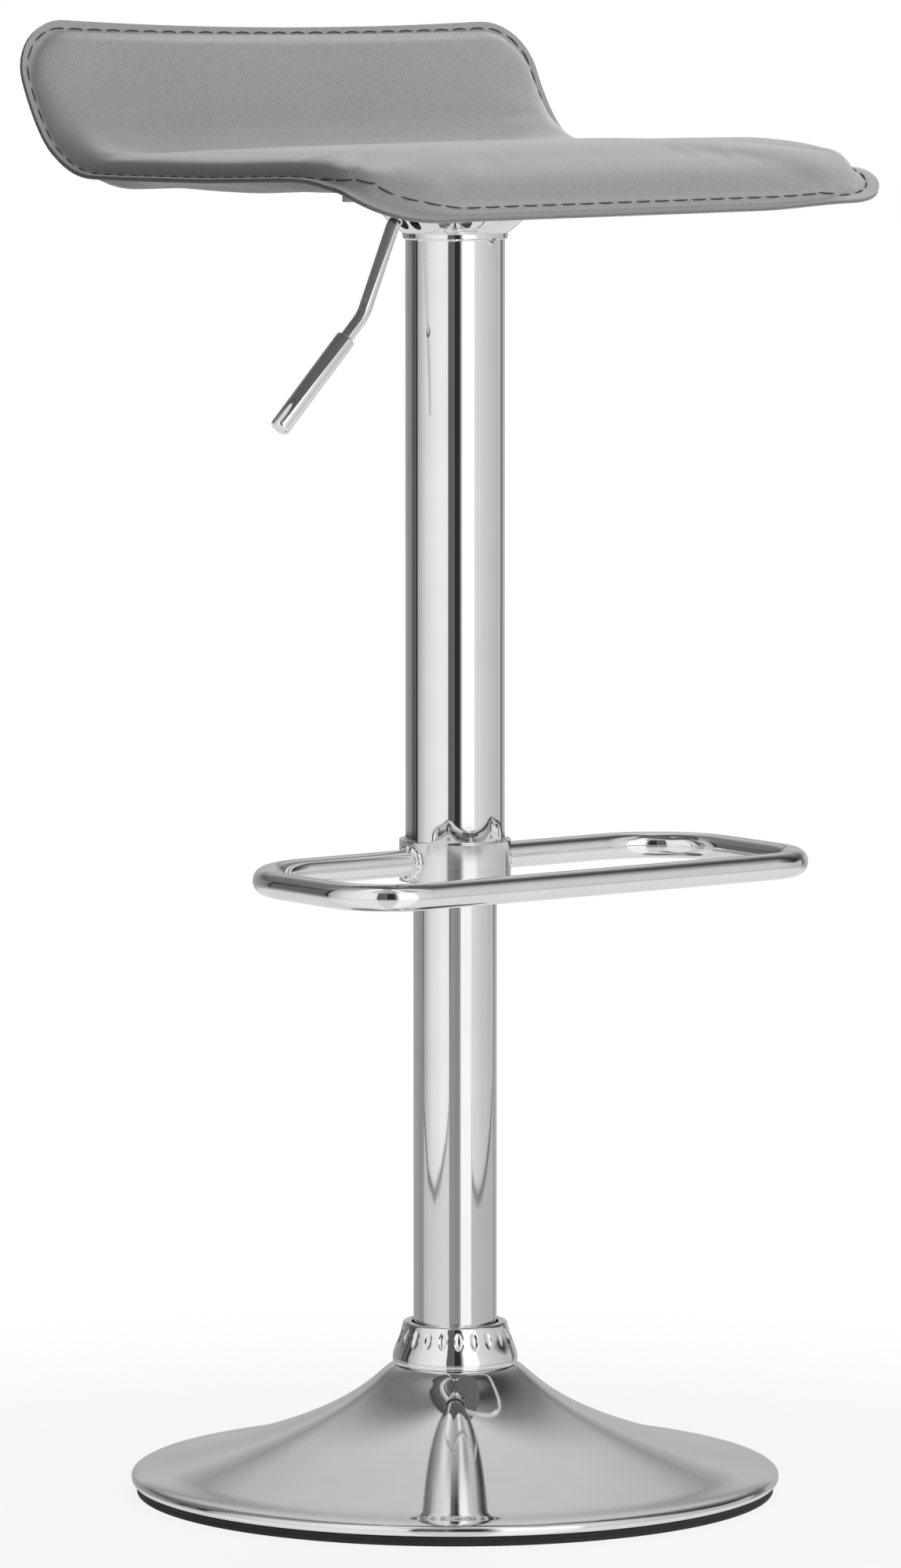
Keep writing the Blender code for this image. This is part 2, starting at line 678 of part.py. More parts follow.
def make_gas_rod(rod, materials):
    make_piston_rod(rod, materials)
    make_piston(rod, materials)
    turned_ring("rubber_bumper", ROD_RADIUS + FIT, BUMPER_RADIUS, ROD_SHOULDER, BUMPER_TOP,
                rod, materials["rubber"])


def make_pressure_tube(parent, materials):
    taper_foot = SOCKET_BOTTOM
    pin_hole = VALVE_PIN_RADIUS + FIT
    profile = [
        (TUBE_TOP_RADIUS, TUBE_TOP),
        (TUBE_RADIUS, taper_foot),
        (TUBE_RADIUS, TUBE_BOTTOM),
        (TUBE_BORE, TUBE_BOTTOM),
        (TUBE_BORE, taper_foot),
        (TUBE_TOP_RADIUS - TUBE_WALL, TUBE_TOP - TUBE_HEAD),
        (pin_hole, TUBE_TOP - TUBE_HEAD),
        (pin_hole, TUBE_TOP),
    ]
    revolve("pressure_tube", profile, parent, materials["black_steel"])
    bore = ROD_RADIUS + FIT
    turned_ring("rod_guide", bore, TUBE_BORE - FIT, ROD_GUIDE_BOTTOM, ROD_GUIDE_BOTTOM + ROD_GUIDE_LENGTH,
                parent, materials["nylon"])
    turned_ring("rod_seal", bore, TUBE_BORE - FIT, ROD_SEAL_BOTTOM, ROD_SEAL_BOTTOM + ROD_SEAL_LENGTH,
                parent, materials["rubber"])


def make_valve_pin(valve, steel):
    """The pin's own origin is at the top of its button."""
    profile = [
        (0, 0),
        (VALVE_BUTTON_RADIUS - 0.0006, 0),
        (VALVE_BUTTON_RADIUS, -0.0006),
        (VALVE_BUTTON_RADIUS, -VALVE_BUTTON_HEIGHT),
        (VALVE_PIN_RADIUS, -VALVE_BUTTON_HEIGHT),
        (VALVE_PIN_RADIUS, TUBE_TOP - TUBE_HEAD - 0.003 - VALVE_BUTTON_TOP),
        (0, TUBE_TOP - TUBE_HEAD - 0.003 - VALVE_BUTTON_TOP),
    ]
    return revolve("valve_pin", profile, valve, steel, SMALL_FACETS, closed=False)


# Under the seat: plate, socket, lever bracket, cup and cover sleeve

def make_seat_plate(parent, black_steel):
    mesh = bpy.data.meshes.new("seat_plate")
    shape = bmesh.new()
    bmesh.ops.create_cube(shape, size=1.0)
    shape.transform(Matrix.Diagonal((PLATE_SIZE, PLATE_SIZE, PLATE_THICKNESS, 1.0)))
    uprights = [e for e in shape.edges if abs(e.verts[0].co.z - e.verts[1].co.z) > PLATE_THICKNESS / 2]
    bmesh.ops.bevel(shape, geom=uprights, offset=PLATE_CORNER, segments=5, profile=0.5, affect="EDGES")
    shape.transform(Matrix.Translation((0, 0, PLATE_HEIGHT + PLATE_THICKNESS / 2)))
    shape.to_mesh(mesh)
    shape.free()
    plate = add_part("seat_plate", mesh, parent, black_steel)
    for k, (x, y) in enumerate(BOLT_PLACES):
        below = (x, y, PLATE_HEIGHT - PLATE_THICKNESS)
        above = (x, y, PLATE_TOP + PLATE_THICKNESS)
        hole = cutter_cylinder(f"plate_hole_{k + 1}", BOLT_RADIUS + FIT, below, above, 16)
        combine(plate, hole)
    return plate


def make_taper_socket(parent, black_steel):
    bore_bottom = TUBE_RADIUS + FIT
    bore_top = TUBE_TOP_RADIUS + FIT
    profile = [
        (SOCKET_RADIUS, SOCKET_TOP),
        (SOCKET_RADIUS, SOCKET_BOTTOM),
        (bore_bottom, SOCKET_BOTTOM),
        (bore_top, TUBE_TOP),
        (bore_top, SOCKET_TOP),
    ]
    socket = revolve("taper_socket", profile, parent, black_steel)
    half = LEVER_ROD_RADIUS + 0.001
    low = (-SOCKET_RADIUS - 0.002, -half, LEVER_HEIGHT - LEVER_ROD_RADIUS - 0.002)
    high = (-TUBE_TOP_RADIUS / 2, half, SOCKET_TOP + 0.002)
    combine(socket, cutter_box("socket_lever_way", low, high))
    return socket


def make_lever_bracket(parent, materials):
    """Folded bracket under the plate whose two ears carry the lever's pivot pin."""
    inner = LEVER_ROD_RADIUS + 0.0004
    outer = inner + BRACKET_EAR
    top = PLATE_HEIGHT - FIT
    near = LEVER_PIVOT_REACH - BRACKET_LENGTH / 2
    far = LEVER_PIVOT_REACH + BRACKET_LENGTH / 2
    outline = [
        (-outer, top),
        (outer, top),
        (outer, top - BRACKET_DEPTH),
        (inner, top - BRACKET_DEPTH),
        (inner, top - BRACKET_EAR),
        (-inner, top - BRACKET_EAR),
        (-inner, top - BRACKET_DEPTH),
        (-outer, top - BRACKET_DEPTH),
    ]
    size = len(outline)
    points = [(-far, y, z) for y, z in outline] + [(-near, y, z) for y, z in outline]
    faces = [tuple(range(size)), tuple(range(2 * size - 1, size - 1, -1))]
    bridge([0, size], size, faces)
    bracket = add_mesh("lever_bracket", points, faces, parent, materials["black_steel"])
    hole = PIVOT_PIN_RADIUS + FIT
    reach = outer + 0.004
    combine(bracket, cutter_cylinder("bracket_pin_hole", hole, (-LEVER_PIVOT_REACH, -reach, LEVER_HEIGHT),
                                     (-LEVER_PIVOT_REACH, reach, LEVER_HEIGHT), 16))
    make_pivot_pin(parent, materials["steel"], outer)


def make_pivot_pin(parent, steel, ear_outside):
    shank = ear_outside + 0.0008
    head_start = ear_outside + FIT
    profile = [
        (0, head_start + PIVOT_HEAD_LENGTH),
        (PIVOT_HEAD_RADIUS, head_start + PIVOT_HEAD_LENGTH),
        (PIVOT_HEAD_RADIUS, head_start),
        (PIVOT_PIN_RADIUS, head_start),
        (PIVOT_PIN_RADIUS, -shank),
        (0, -shank),
    ]
    pin = revolve("lever_pivot_pin", profile, parent, steel, 16, closed=False)
    pin.rotation_euler = (-math.pi / 2, 0, 0)
    pin.location = (-LEVER_PIVOT_REACH, 0, LEVER_HEIGHT)
    return pin


def make_upper_cup(parent, chrome):
    """Flared chrome cup between sleeve and plate, slotted on the lever side."""
    neck = SLEEVE_RADIUS + FIT
    foot = neck + CUP_SHEET
    low = (foot, CUP_BOTTOM + CUP_NECK)
    rise = CUP_TOP - low[1]
    run = CUP_TOP_RADIUS - foot
    flare = [low, (foot + run * 0.30, low[1] + rise * 0.30 - CUP_BULGE),
             (foot + run * 0.72, low[1] + rise * 0.62 - CUP_BULGE), (CUP_TOP_RADIUS, CUP_TOP)]
    outer = bezier(flare, 6)
    inner = [(p.x - CUP_SHEET, p.y + CUP_SHEET) for p in outer]
    inner = [(neck, low[1] + CUP_SHEET)] + inner[1:-1] + [(CUP_TOP_RADIUS - 1.6 * CUP_SHEET, CUP_TOP)]
    profile = [tuple(p) for p in reversed(outer)] + [(foot, CUP_BOTTOM), (neck, CUP_BOTTOM)] + inner
    cup = revolve("upper_cup", profile, parent, chrome, 36)
    slots = [("lever_slot", LEVER_SLOT_WIDTH, 0.0), ("spare_slot", SPARE_SLOT_WIDTH, SPARE_SLOT_TURN)]
    for name, width, turn in slots:
        low_corner = (-CUP_TOP_RADIUS - 0.004, -width / 2, low[1])
        high_corner = (-SLOT_FOOT_RADIUS, width / 2, CUP_TOP + 0.004)
        combine(cup, cutter_box(name, low_corner, high_corner, turn))
    return cup


def make_cover_sleeve(parent, materials):
    turned_ring("cover_sleeve", SLEEVE_BORE, SLEEVE_RADIUS, SLEEVE_BOTTOM, SLEEVE_TOP,
                parent, materials["chrome"], TUBE_FACETS)
    guide = COLUMN_RADIUS + FIT
    outer = SLEEVE_BORE - FIT
    flange_top = SLEEVE_BOTTOM - FIT
    profile = [
        (outer, SLEEVE_BOTTOM + GLIDE_LENGTH),
        (outer, flange_top),
        (SLEEVE_RADIUS - FIT, flange_top),
        (SLEEVE_RADIUS - FIT, flange_top - GLIDE_FLANGE),
        (guide, flange_top - GLIDE_FLANGE),
        (guide, SLEEVE_BOTTOM + GLIDE_LENGTH),
    ]
    revolve("sleeve_glide_ring", profile, parent, materials["nylon"])


# Footrest

def make_footrest(parent, materials):
    inner = SLEEVE_RADIUS + FIT
    top = COLLAR_BOTTOM + COLLAR_HEIGHT
    profile = [
        (COLLAR_RADIUS - COLLAR_BEVEL, top),
        (COLLAR_RADIUS, top - COLLAR_BEVEL),
        (COLLAR_RADIUS, COLLAR_BOTTOM + COLLAR_BEVEL),
        (COLLAR_RADIUS - COLLAR_BEVEL, COLLAR_BOTTOM),
        (inner, COLLAR_BOTTOM),
        (inner, top),
    ]
    collar = revolve("footrest_collar", profile, parent, materials["satin_chrome"])
    hole = cutter_cylinder("set_screw_hole", SET_SCREW_RADIUS + FIT, (0, inner - 0.004, FOOTREST_HEIGHT),
                           (0, COLLAR_RADIUS + 0.004, FOOTREST_HEIGHT), 16)
    combine(collar, hole)
    length = COLLAR_RADIUS - inner - FIT
    pin = [
        (0, length),
        (SET_SCREW_RADIUS - 0.0005, length),
        (SET_SCREW_RADIUS, length - 0.0005),
        (SET_SCREW_RADIUS, 0),
        (0, 0),
    ]
    screw = revolve("collar_set_screw", pin, parent, materials["black_steel"], 16, closed=False)
    screw.rotation_euler = (-math.pi / 2, 0, 0)
    screw.location = (0, inner + FIT, FOOTREST_HEIGHT)
    make_footrest_loop(parent, materials["chrome"])


def make_footrest_loop(parent, chrome):
    """Bent tube loop whose two open ends are coped to the collar."""
    half = FOOTREST_WIDTH / 2
    cope = COLLAR_RADIUS + FIT
    corners = [
        (cope, 0, 0),
        (half, 0, 0),
        (half, -FOOTREST_REACH, 0),
        (-half, -FOOTREST_REACH, 0),
        (-half, 0, 0),
        (-cope, 0, 0),
    ]
    bends = [FOOTREST_REAR_BEND, FOOTREST_FRONT_BEND, FOOTREST_FRONT_BEND, FOOTREST_REAR_BEND]
    path = filleted(corners, bends, 6)
    sides = 10
    points = []
    starts = []
    for radius in (FOOTREST_TUBE_RADIUS, FOOTREST_TUBE_RADIUS - FOOTREST_TUBE_WALL):
        rings = tube_rings(path, (0, 0, 1), radius, sides)
        for ring, side in ((rings[0], 1), (rings[-1], -1)):
            for point in ring:
                point.x = side * math.sqrt(cope ** 2 - point.y ** 2)
        starts.append([len(points) + sides * i for i in range(len(rings))])
        points += [p for ring in rings for p in ring]
    faces = []
    for chain in starts:
        bridge(chain, sides, faces)
    for end in (0, -1):
        bridge([starts[0][end], starts[1][end]], sides, faces)
    loop = add_mesh("footrest_loop", points, faces, parent, chrome)
    loop.location = (0, 0, FOOTREST_HEIGHT)
    return loop


# Lever

def lever_corners():
    """Corner points of the lever's centre line, from its pivot."""
    pivot = LEVER_PIVOT_REACH
    return [
        Vector((LEVER_INNER_END + pivot, 0, 0)),
        Vector((pivot - LEVER_CUP_BEND, 0, 0)),
        Vector((pivot - LEVER_ELBOW[0], 0, -LEVER_ELBOW[1])),
        Vector((pivot - LEVER_END[0], 0, -LEVER_END[1])),
    ]


def make_lever(lever, materials):
    corners = lever_corners()
    along = (corners[3] - corners[2]).normalized()
    rod_end = corners[3] - along * (GRIP_WALL_END + FIT)
    path = filleted([*corners[:3], rod_end], [LEVER_CUP_BEND_RADIUS, LEVER_ELBOW_RADIUS], 6)
    sides = 12
    rings = tube_rings(path, (0, 1, 0), LEVER_ROD_RADIUS, sides)
    points = [p for ring in rings for p in ring]
    chain = [sides * i for i in range(len(rings))]
    faces = [tuple(range(sides)), tuple(range(chain[-1], chain[-1] + sides))]
    bridge(chain, sides, faces)
    rod = add_mesh("lever_rod", points, faces, lever, materials["chrome"])
    hole = cutter_cylinder("lever_pin_hole", PIVOT_PIN_RADIUS + FIT, (0, -0.012, 0), (0, 0.012, 0), 16)
    hole.parent = lever
    combine(rod, hole)
    bore = LEVER_ROD_RADIUS + FIT
    profile = [
        (0, GRIP_LENGTH),
        (GRIP_RADIUS - 0.0018, GRIP_LENGTH),
        (GRIP_RADIUS - 0.0005, GRIP_LENGTH - 0.0006),
        (GRIP_RADIUS, GRIP_LENGTH - 0.002),
        (GRIP_RADIUS, 0.0006),
        (GRIP_RADIUS - 0.0006, 0),
        (bore, 0),
        (bore, GRIP_LENGTH - GRIP_WALL_END),
        (0, GRIP_LENGTH - GRIP_WALL_END),
    ]
    grip = revolve("lever_grip", profile, lever, materials["chrome"], SMALL_FACETS, closed=False)
    grip.rotation_euler = along.to_track_quat("Z", "Y").to_euler()
    grip.location = corners[3] - along * GRIP_LENGTH


# Padded seat

def guide_point(line, step):
    """A point on a smooth line through the guide points, without overshoot between them."""
    last = len(line) - 1
    index = min(int(step), last - 1)
    t = step - index
    result = []
    for axis in (0, 1):
        values = [p[axis] for p in line]
        slopes = [b - a for a, b in zip(values, values[1:])]

        def tangent(k):
            if k == 0 or k == last:
                return slopes[min(k, last - 1)]
            a, b = slopes[k - 1], slopes[k]
            return 2 * a * b / (a + b) if a * b > 0 else 0.0

        a, b = values[index], values[index + 1]
        p, q = tangent(index), tangent(index + 1)
        result.append((2 * t ** 3 - 3 * t * t + 1) * a + (t ** 3 - 2 * t * t + t) * p
                      + (3 * t * t - 2 * t ** 3) * b + (t ** 3 - t * t) * q)
    return Vector(result)


def seam_point(step):
    return guide_point(SEAM_LINE, step)


def seam_normal(step):
    ahead = seam_point(min(step + 0.02, len(SEAM_LINE) - 1))
    behind = seam_point(max(step - 0.02, 0))
    along = (ahead - behind).normalized()
    return Vector((along.y, -along.x))


def under_point(step, rise):
    """The underside in side view, offset inwards by rise: flat seat, low round heel, upright back."""
    radius = HEEL_RADIUS - rise
    centre = Vector((HEEL_REACH, HEEL_RADIUS - HEEL_DROP))
    if step >= 3:
        stations = [HEEL_REACH] + [p[0] for p in SEAM_LINE[4:]]
        index = min(int(step) - 3, len(stations) - 2)
        y = stations[index] + (stations[index + 1] - stations[index]) * (step - 3 - index)
        fall = min(max((y - HEEL_FLAT) / (HEEL_REACH - HEEL_FLAT), 0.0), 1.0)
        return Vector((y, rise - HEEL_DROP * fall))
    if step >= 1:
        angle = HEEL_TURN * (3 - step) / 2
        return centre + Vector((math.sin(angle), -math.cos(angle))) * radius
    end = centre + Vector((math.sin(HEEL_TURN), -math.cos(HEEL_TURN))) * radius
    up = Vector((math.cos(HEEL_TURN), math.sin(HEEL_TURN)))
    return end + up * ((SEAM_LINE[0][1] - end.y) * (1 - step))


def edge_distance(step, from_back):
    """Length along the seam line from the back edge, or to the front edge."""
    last = len(SEAM_LINE) - 1
    start, end = (0, step) if from_back else (step, last)
    points = [seam_point(start + (end - start) * i / 12) for i in range(13)]
    return sum((b - a).length for a, b in zip(points, points[1:]))


def half_width(step):
    """Half the seat's width at a step, less what its rounded corners take away."""
    width = SEAT_WIDTH / 2
    corners = ((BACK_CORNER, edge_distance(step, True)), (FRONT_CORNER, edge_distance(step, False)))
    for corner, distance in corners:
        if distance < corner:
            width -= corner - math.sqrt(corner ** 2 - (corner - distance) ** 2)
    return width


def seat_columns():
    """Places across the seat as shares of the half width, with lines at the board, foam and lip edges."""
    half = SEAT_WIDTH / 2
    board = 1 - BOARD_INSET / half
    foam = 1 - FOAM_INSET / half
    lip = 1 - LIP_WIDTH / half
    outer = [board * 0.4, board * 0.74, board, foam, lip, 1.0]
    return [-v for v in reversed(outer)] + [0.0] + outer


SEAT_STEPS = [
    0, 0.13, 0.3, 0.6, BACK_BOARD_END, 1.2, 1.6, 2.0, 2.4, 2.7, 3.0,
    4 - HEEL_FLAT / HEEL_REACH, 3.75, 4.5, 4.9, 5.2, 5.5, 5.8, FRONT_BOARD_END, 6.4, 6.65, 6.88, 7.0,
]


def crown_share(share, edge, power):
    inside = min(abs(share) / edge, 1.0)
    return (1 - inside ** power) ** 0.75


def pad_rise(step, share):
    """Height of the padded top above the sewn edge, along the seam's normal."""
    last = len(SEAM_LINE) - 1
    to_end = min(edge_distance(step, True), edge_distance(step, False))
    whole = edge_distance(last, True)
    along = 1 - 2 * max(to_end - LIP_WIDTH, 0) / (whole - 2 * LIP_WIDTH)
    columns = seat_columns()
    return PAD_CROWN * crown_share(share, columns[-2], 4) * crown_share(along, 1.0, 7)


def edge_weight(step, share):
    """0 over the board, 1 on the sewn lip."""
    columns = seat_columns()
    board, lip = columns[-4], columns[-2]
    side = smooth_step((abs(share) - board) / (lip - board))
    back = smooth_step((BACK_BOARD_END - step) / (BACK_BOARD_END - 0.13))
    front = smooth_step((step - FRONT_BOARD_END) / (6.88 - FRONT_BOARD_END))
    return 1 - (1 - side) * (1 - max(back, front))


def on_board(step, share):
    inside = abs(share) < seat_columns()[-4] + 1e-6
    return inside and BACK_BOARD_END <= step <= FRONT_BOARD_END


def under_weight(step, share):
    """0 on the flat underside, 1 on the sewn lip, held back over the bevelled board."""
    flat = UNDER_FLAT / (SEAT_WIDTH / 2)
    lip = seat_columns()[-2]
    side = min(max((abs(share) - flat) / (lip - flat), 0.0), 1.0) ** 1.4
    back = smooth_step((BACK_BOARD_END - step) / (BACK_BOARD_END - 0.13))
    front = smooth_step((step - FRONT_BOARD_END) / (6.88 - FRONT_BOARD_END))
    weight = 1 - (1 - side) * (1 - max(back, front))
    if on_board(step, share):
        rise = (seam_point(step) - under_point(step, 0)).length
        weight = min(weight, BOARD_BEVEL / rise)
    return weight


def place(step, share, point):
    """A side-view point, set across the seat and dipped along the back's top edge."""
    dip = BACK_EDGE_DIP * (1 - share * share) * max(1 - step, 0) ** 2
    return Vector((share * half_width(step), point.x, PAD_UNDERSIDE + point.y - dip))


def top_outside(step, share):
    lift = FIT / 2 + LEATHER + pad_rise(step, share)
    return place(step, share, seam_point(step) + seam_normal(step) * lift)


def top_inside(step, share):
    lift = FIT / 2 + pad_rise(step, share)
    return place(step, share, seam_point(step) + seam_normal(step) * lift)


def foam_top(step, share):
    lift = pad_rise(step, share) - FIT / 2
    return place(step, share, seam_point(step) + seam_normal(step) * lift)


def foam_bottom(step, share):
    """The foam lies on the board and, outside it, on the bottom cover."""
    normal = seam_normal(step)
    at_edge = seam_point(step) + normal * (FIT / 2)
    over_board = under_point(step, BOARD_TOP + FIT).lerp(at_edge, edge_weight(step, share))
    over_cover = under_inside_line(step, share) + normal * FIT
    higher = over_board if (over_board - over_cover).dot(normal) > 0 else over_cover
    return place(step, share, higher)


def board_top(step, share):
    return place(step, share, under_point(step, BOARD_TOP))


def board_bottom(step, share):
    under_board = under_point(step, BOARD_BOTTOM)
    at_edge = seam_point(step) + seam_normal(step) * (FIT / 2)
    return place(step, share, under_board.lerp(at_edge, under_weight(step, share)))


def under_inside_line(step, share):
    under_board = under_point(step, BOARD_BOTTOM - FIT)
    at_edge = seam_point(step) - seam_normal(step) * (FIT / 2)
    return under_board.lerp(at_edge, under_weight(step, share))


def under_inside(step, share):
    return place(step, share, under_inside_line(step, share))


def under_outside(step, share):
    underside = under_point(step, 0)
    at_edge = seam_point(step) - seam_normal(step) * (FIT / 2 + LEATHER)
    return place(step, share, underside.lerp(at_edge, under_weight(step, share)))


def make_panel(name, upper, lower, steps, shares, parent, material):
    """A closed sheet between two surfaces over the same grid of steps and shares."""
    rows = len(steps)
    columns = len(shares)
    points = [upper(s, v) for s in steps for v in shares] + [lower(s, v) for s in steps for v in shares]
    offset = rows * columns
    faces = []
    for i in range(rows - 1):
        for j in range(columns - 1):
            a = i * columns + j
            near, far = (a, a + 1), (a + columns, a + columns + 1)
            if shares[j] < 0:
                halves = [(near[0], near[1], far[1]), (near[0], far[1], far[0])]
            else:
                halves = [(near[0], near[1], far[0]), (near[1], far[1], far[0])]
            for half in halves:
                faces.append(half)
                faces.append(tuple(offset + k for k in reversed(half)))
    border = [j for j in range(columns)]
    border += [i * columns + columns - 1 for i in range(1, rows)]
    border += [(rows - 1) * columns + j for j in range(columns - 2, -1, -1)]
    border += [i * columns for i in range(rows - 2, 0, -1)]
    for a, b in zip(border, border[1:] + border[:1]):
        faces.append((a, b, offset + b, offset + a))
    return add_mesh(name, points, faces, parent, material)


def make_seat_pad(parent, materials):
    columns = seat_columns()
    make_panel("seat_top_cover", top_outside, top_inside, SEAT_STEPS, columns, parent, materials["leather"])
    foam_steps = [s for s in SEAT_STEPS if BACK_BOARD_END <= s < 6.7]
    make_panel("seat_foam", foam_top, foam_bottom, foam_steps, columns[2:-2], parent, materials["foam"])
    cover = make_panel("seat_bottom_cover", under_inside, under_outside, SEAT_STEPS, columns,
                       parent, materials["leather"])
    board_steps = [s for s in SEAT_STEPS if BACK_BOARD_END <= s <= FRONT_BOARD_END]
    board = make_panel("seat_board", board_top, board_bottom, board_steps, columns[3:-3],
                       parent, materials["plywood"])
    for k, (x, y) in enumerate(BOLT_PLACES):
        make_seat_fastener(k + 1, x, y, parent, materials)
        bottom = PAD_UNDERSIDE - 0.004
        barrel = BOLT_RADIUS + FIT + TEE_BARREL_WALL
        hole = cutter_cylinder(f"cover_hole_{k + 1}", barrel + FIT, (x, y, bottom),
                               (x, y, PAD_UNDERSIDE + LEATHER + 0.001), 16)
        combine(cover, hole)
        seat = PAD_UNDERSIDE + BOARD_TOP - TEE_FLANGE_THICKNESS - 2 * FIT
        hole = cutter_cylinder(f"board_hole_{k + 1}", barrel + FIT, (x, y, bottom), (x, y, seat + 0.001), 16)
        combine(board, hole)
        above = (x, y, PAD_UNDERSIDE + BOARD_TOP + 0.004)
        recess = cutter_cylinder(f"tee_seat_{k + 1}", TEE_FLANGE_RADIUS + FIT, (x, y, seat), above, 16)
        combine(board, recess)


def make_seat_fastener(number, x, y, parent, materials):
    """Bolt, washer and tee nut that hold the plate to the board."""
    washer_top = PLATE_HEIGHT - FIT
    washer_bottom = washer_top - BOLT_WASHER_THICKNESS
    washer = turned_ring(f"bolt_washer_{number}", BOLT_RADIUS + FIT, BOLT_WASHER_RADIUS,
                         washer_bottom, washer_top, parent, materials["steel"], 12)
    head_top = washer_bottom - FIT
    flange_top = PAD_UNDERSIDE + BOARD_TOP - FIT
    mesh = bpy.data.meshes.new(f"seat_bolt_{number}")
    shape = bmesh.new()
    head = BOLT_HEAD_ACROSS_CORNERS / 2
    bmesh.ops.create_cone(
        shape, cap_ends=True, segments=6, radius1=head, radius2=head, depth=BOLT_HEAD_HEIGHT)
    shape.transform(Matrix.Translation((0, 0, head_top - BOLT_HEAD_HEIGHT / 2)))
    shape.to_mesh(mesh)
    shape.free()
    bolt = add_part(f"seat_bolt_{number}", mesh, parent, materials["steel"])
    middle = (0, 0, head_top - BOLT_HEAD_HEIGHT / 2)
    shank = cutter_cylinder(f"shank_{number}", BOLT_RADIUS, middle, (0, 0, flange_top - 0.002), 12)
    combine(bolt, shank, "UNION")
    bore = BOLT_RADIUS + FIT
    barrel = bore + TEE_BARREL_WALL
    flange_bottom = flange_top - TEE_FLANGE_THICKNESS
    profile = [
        (TEE_FLANGE_RADIUS, flange_top),
        (TEE_FLANGE_RADIUS, flange_bottom),
        (barrel, flange_bottom),
        (barrel, PAD_UNDERSIDE + BOARD_BOTTOM),
        (bore, PAD_UNDERSIDE + BOARD_BOTTOM),
        (bore, flange_top),
    ]
    tee = revolve(f"tee_nut_{number}", profile, parent, materials["steel"], 12)
    for piece in (washer, bolt, shank, tee):
        piece.location = (x, y, 0)


def make_stool():
    clear_scene()
    materials = make_materials()
    base = add_empty("base")
    rod = add_empty("swivel", base)
    seat = add_empty("lift", rod)
    lever = add_empty("lever", seat, (-LEVER_PIVOT_REACH, 0, LEVER_HEIGHT))
    valve = add_empty("valve", seat, (0, 0, VALVE_BUTTON_TOP))
    make_base(base, materials)
    make_bearing(base, rod, materials)
    make_gas_rod(rod, materials)
    make_pressure_tube(seat, materials)
    make_valve_pin(valve, materials["steel"])
    make_seat_plate(seat, materials["black_steel"])
    make_taper_socket(seat, materials["black_steel"])
    make_lever_bracket(seat, materials)
    make_upper_cup(seat, materials["chrome"])
    make_cover_sleeve(seat, materials)
    make_footrest(seat, materials)
    make_lever(lever, materials)
    make_seat_pad(seat, materials)


make_stool()
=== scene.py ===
"""Looks of the swivel bar stool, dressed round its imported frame.

Metres, +Z up. The origin is the centre of the base on the floor, the seat faces -Y and the lever is at -X.
"""

import bisect
import json
import math

import bmesh
import bpy
from mathutils import Matrix, Vector, noise


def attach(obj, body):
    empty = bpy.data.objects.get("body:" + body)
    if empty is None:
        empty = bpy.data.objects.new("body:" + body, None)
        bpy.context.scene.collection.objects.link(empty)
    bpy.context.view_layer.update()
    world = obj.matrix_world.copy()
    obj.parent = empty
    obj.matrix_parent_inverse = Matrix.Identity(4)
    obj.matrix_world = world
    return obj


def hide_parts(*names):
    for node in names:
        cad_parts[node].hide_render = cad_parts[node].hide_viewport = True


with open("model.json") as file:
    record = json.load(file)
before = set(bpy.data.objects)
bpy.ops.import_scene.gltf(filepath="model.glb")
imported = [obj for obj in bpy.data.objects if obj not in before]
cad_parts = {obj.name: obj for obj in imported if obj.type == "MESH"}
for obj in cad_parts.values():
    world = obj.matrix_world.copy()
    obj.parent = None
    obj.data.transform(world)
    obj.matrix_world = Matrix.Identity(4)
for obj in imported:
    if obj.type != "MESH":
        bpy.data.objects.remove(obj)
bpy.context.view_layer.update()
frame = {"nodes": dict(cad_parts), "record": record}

# Fits and the view
FIT = 0.0003
SHARP_ANGLE = math.radians(32)          # edges sharper than this stay sharp
BEAD_ANGLE = math.radians(60)
VIEW_TURN = math.radians(36.5)          # the eye stands this far round from the front, towards the lever
VIEW_ASIDE = math.radians(0.026)
VIEW_DISTANCE = 6.0
VIEW_PITCH = math.radians(6.11)
EYE_HEIGHT = 1.07
SENSOR_WIDTH_MM = 36.0
LENS_MM = 402.8
FLOOR_RADIUS = 1.36
FLOOR_DROP = 0.0004
FLOOR_WHITE_FROM = (0.25, 0.75)         # away from the stool's axis
FLOOR_WHITE = (0.89, 1.0)

# Base
DISH_RADIUS = 0.195
DISH_SHEET = 0.002
NECK_HEIGHT = 0.0785
NECK_RADIUS = 0.0365
NECK_LIP = 0.0025
NECK_LIP_UNDER = 0.003
DISH_SHOULDER_RADIUS = 0.1724
DISH_SHOULDER_HEIGHT = 0.0167
DISH_RIM_HEIGHT = 0.0095
DISH_EDGE_HEIGHT = 0.0058
DISH_EDGE_WIDTH = 0.0065
DISH_EDGE_ROUND = 0.0008
DISH_FLARE = [(0.0, -0.0007), (0.0135, -0.0062), (0.018, -0.0318)]      # curve, from the neck's edge
DISH_BROW = [(0.0, 0.0), (0.0115, -0.0029)]                             # from the shoulder
DISH_ROLL = [(0.0, 0.0052), (0.0, 0.0), (0.0, -0.0023)]                 # from the rim
DISH_HEM = [(-0.0008, 0.0), (-0.0030, 0.0)]                             # from the lower edge
FOOT_RING_RADIUS = 0.1918
FOOT_RING_WIDTH = 0.0095
FOOT_RING_LIP = 0.0042
FOOT_RING_ROUND = 0.0009
FOOT_GROOVE_PLACE = 0.55                # share of the ring's height
FOOT_GROOVE_HALF = 0.0005
FOOT_GROOVE_DEPTH = 0.0004
TRIM_HEIGHT = 0.026
TRIM_TOP_RADIUS = 0.0316
TRIM_BOTTOM_RADIUS = 0.0375
TRIM_SHEET = 0.0012
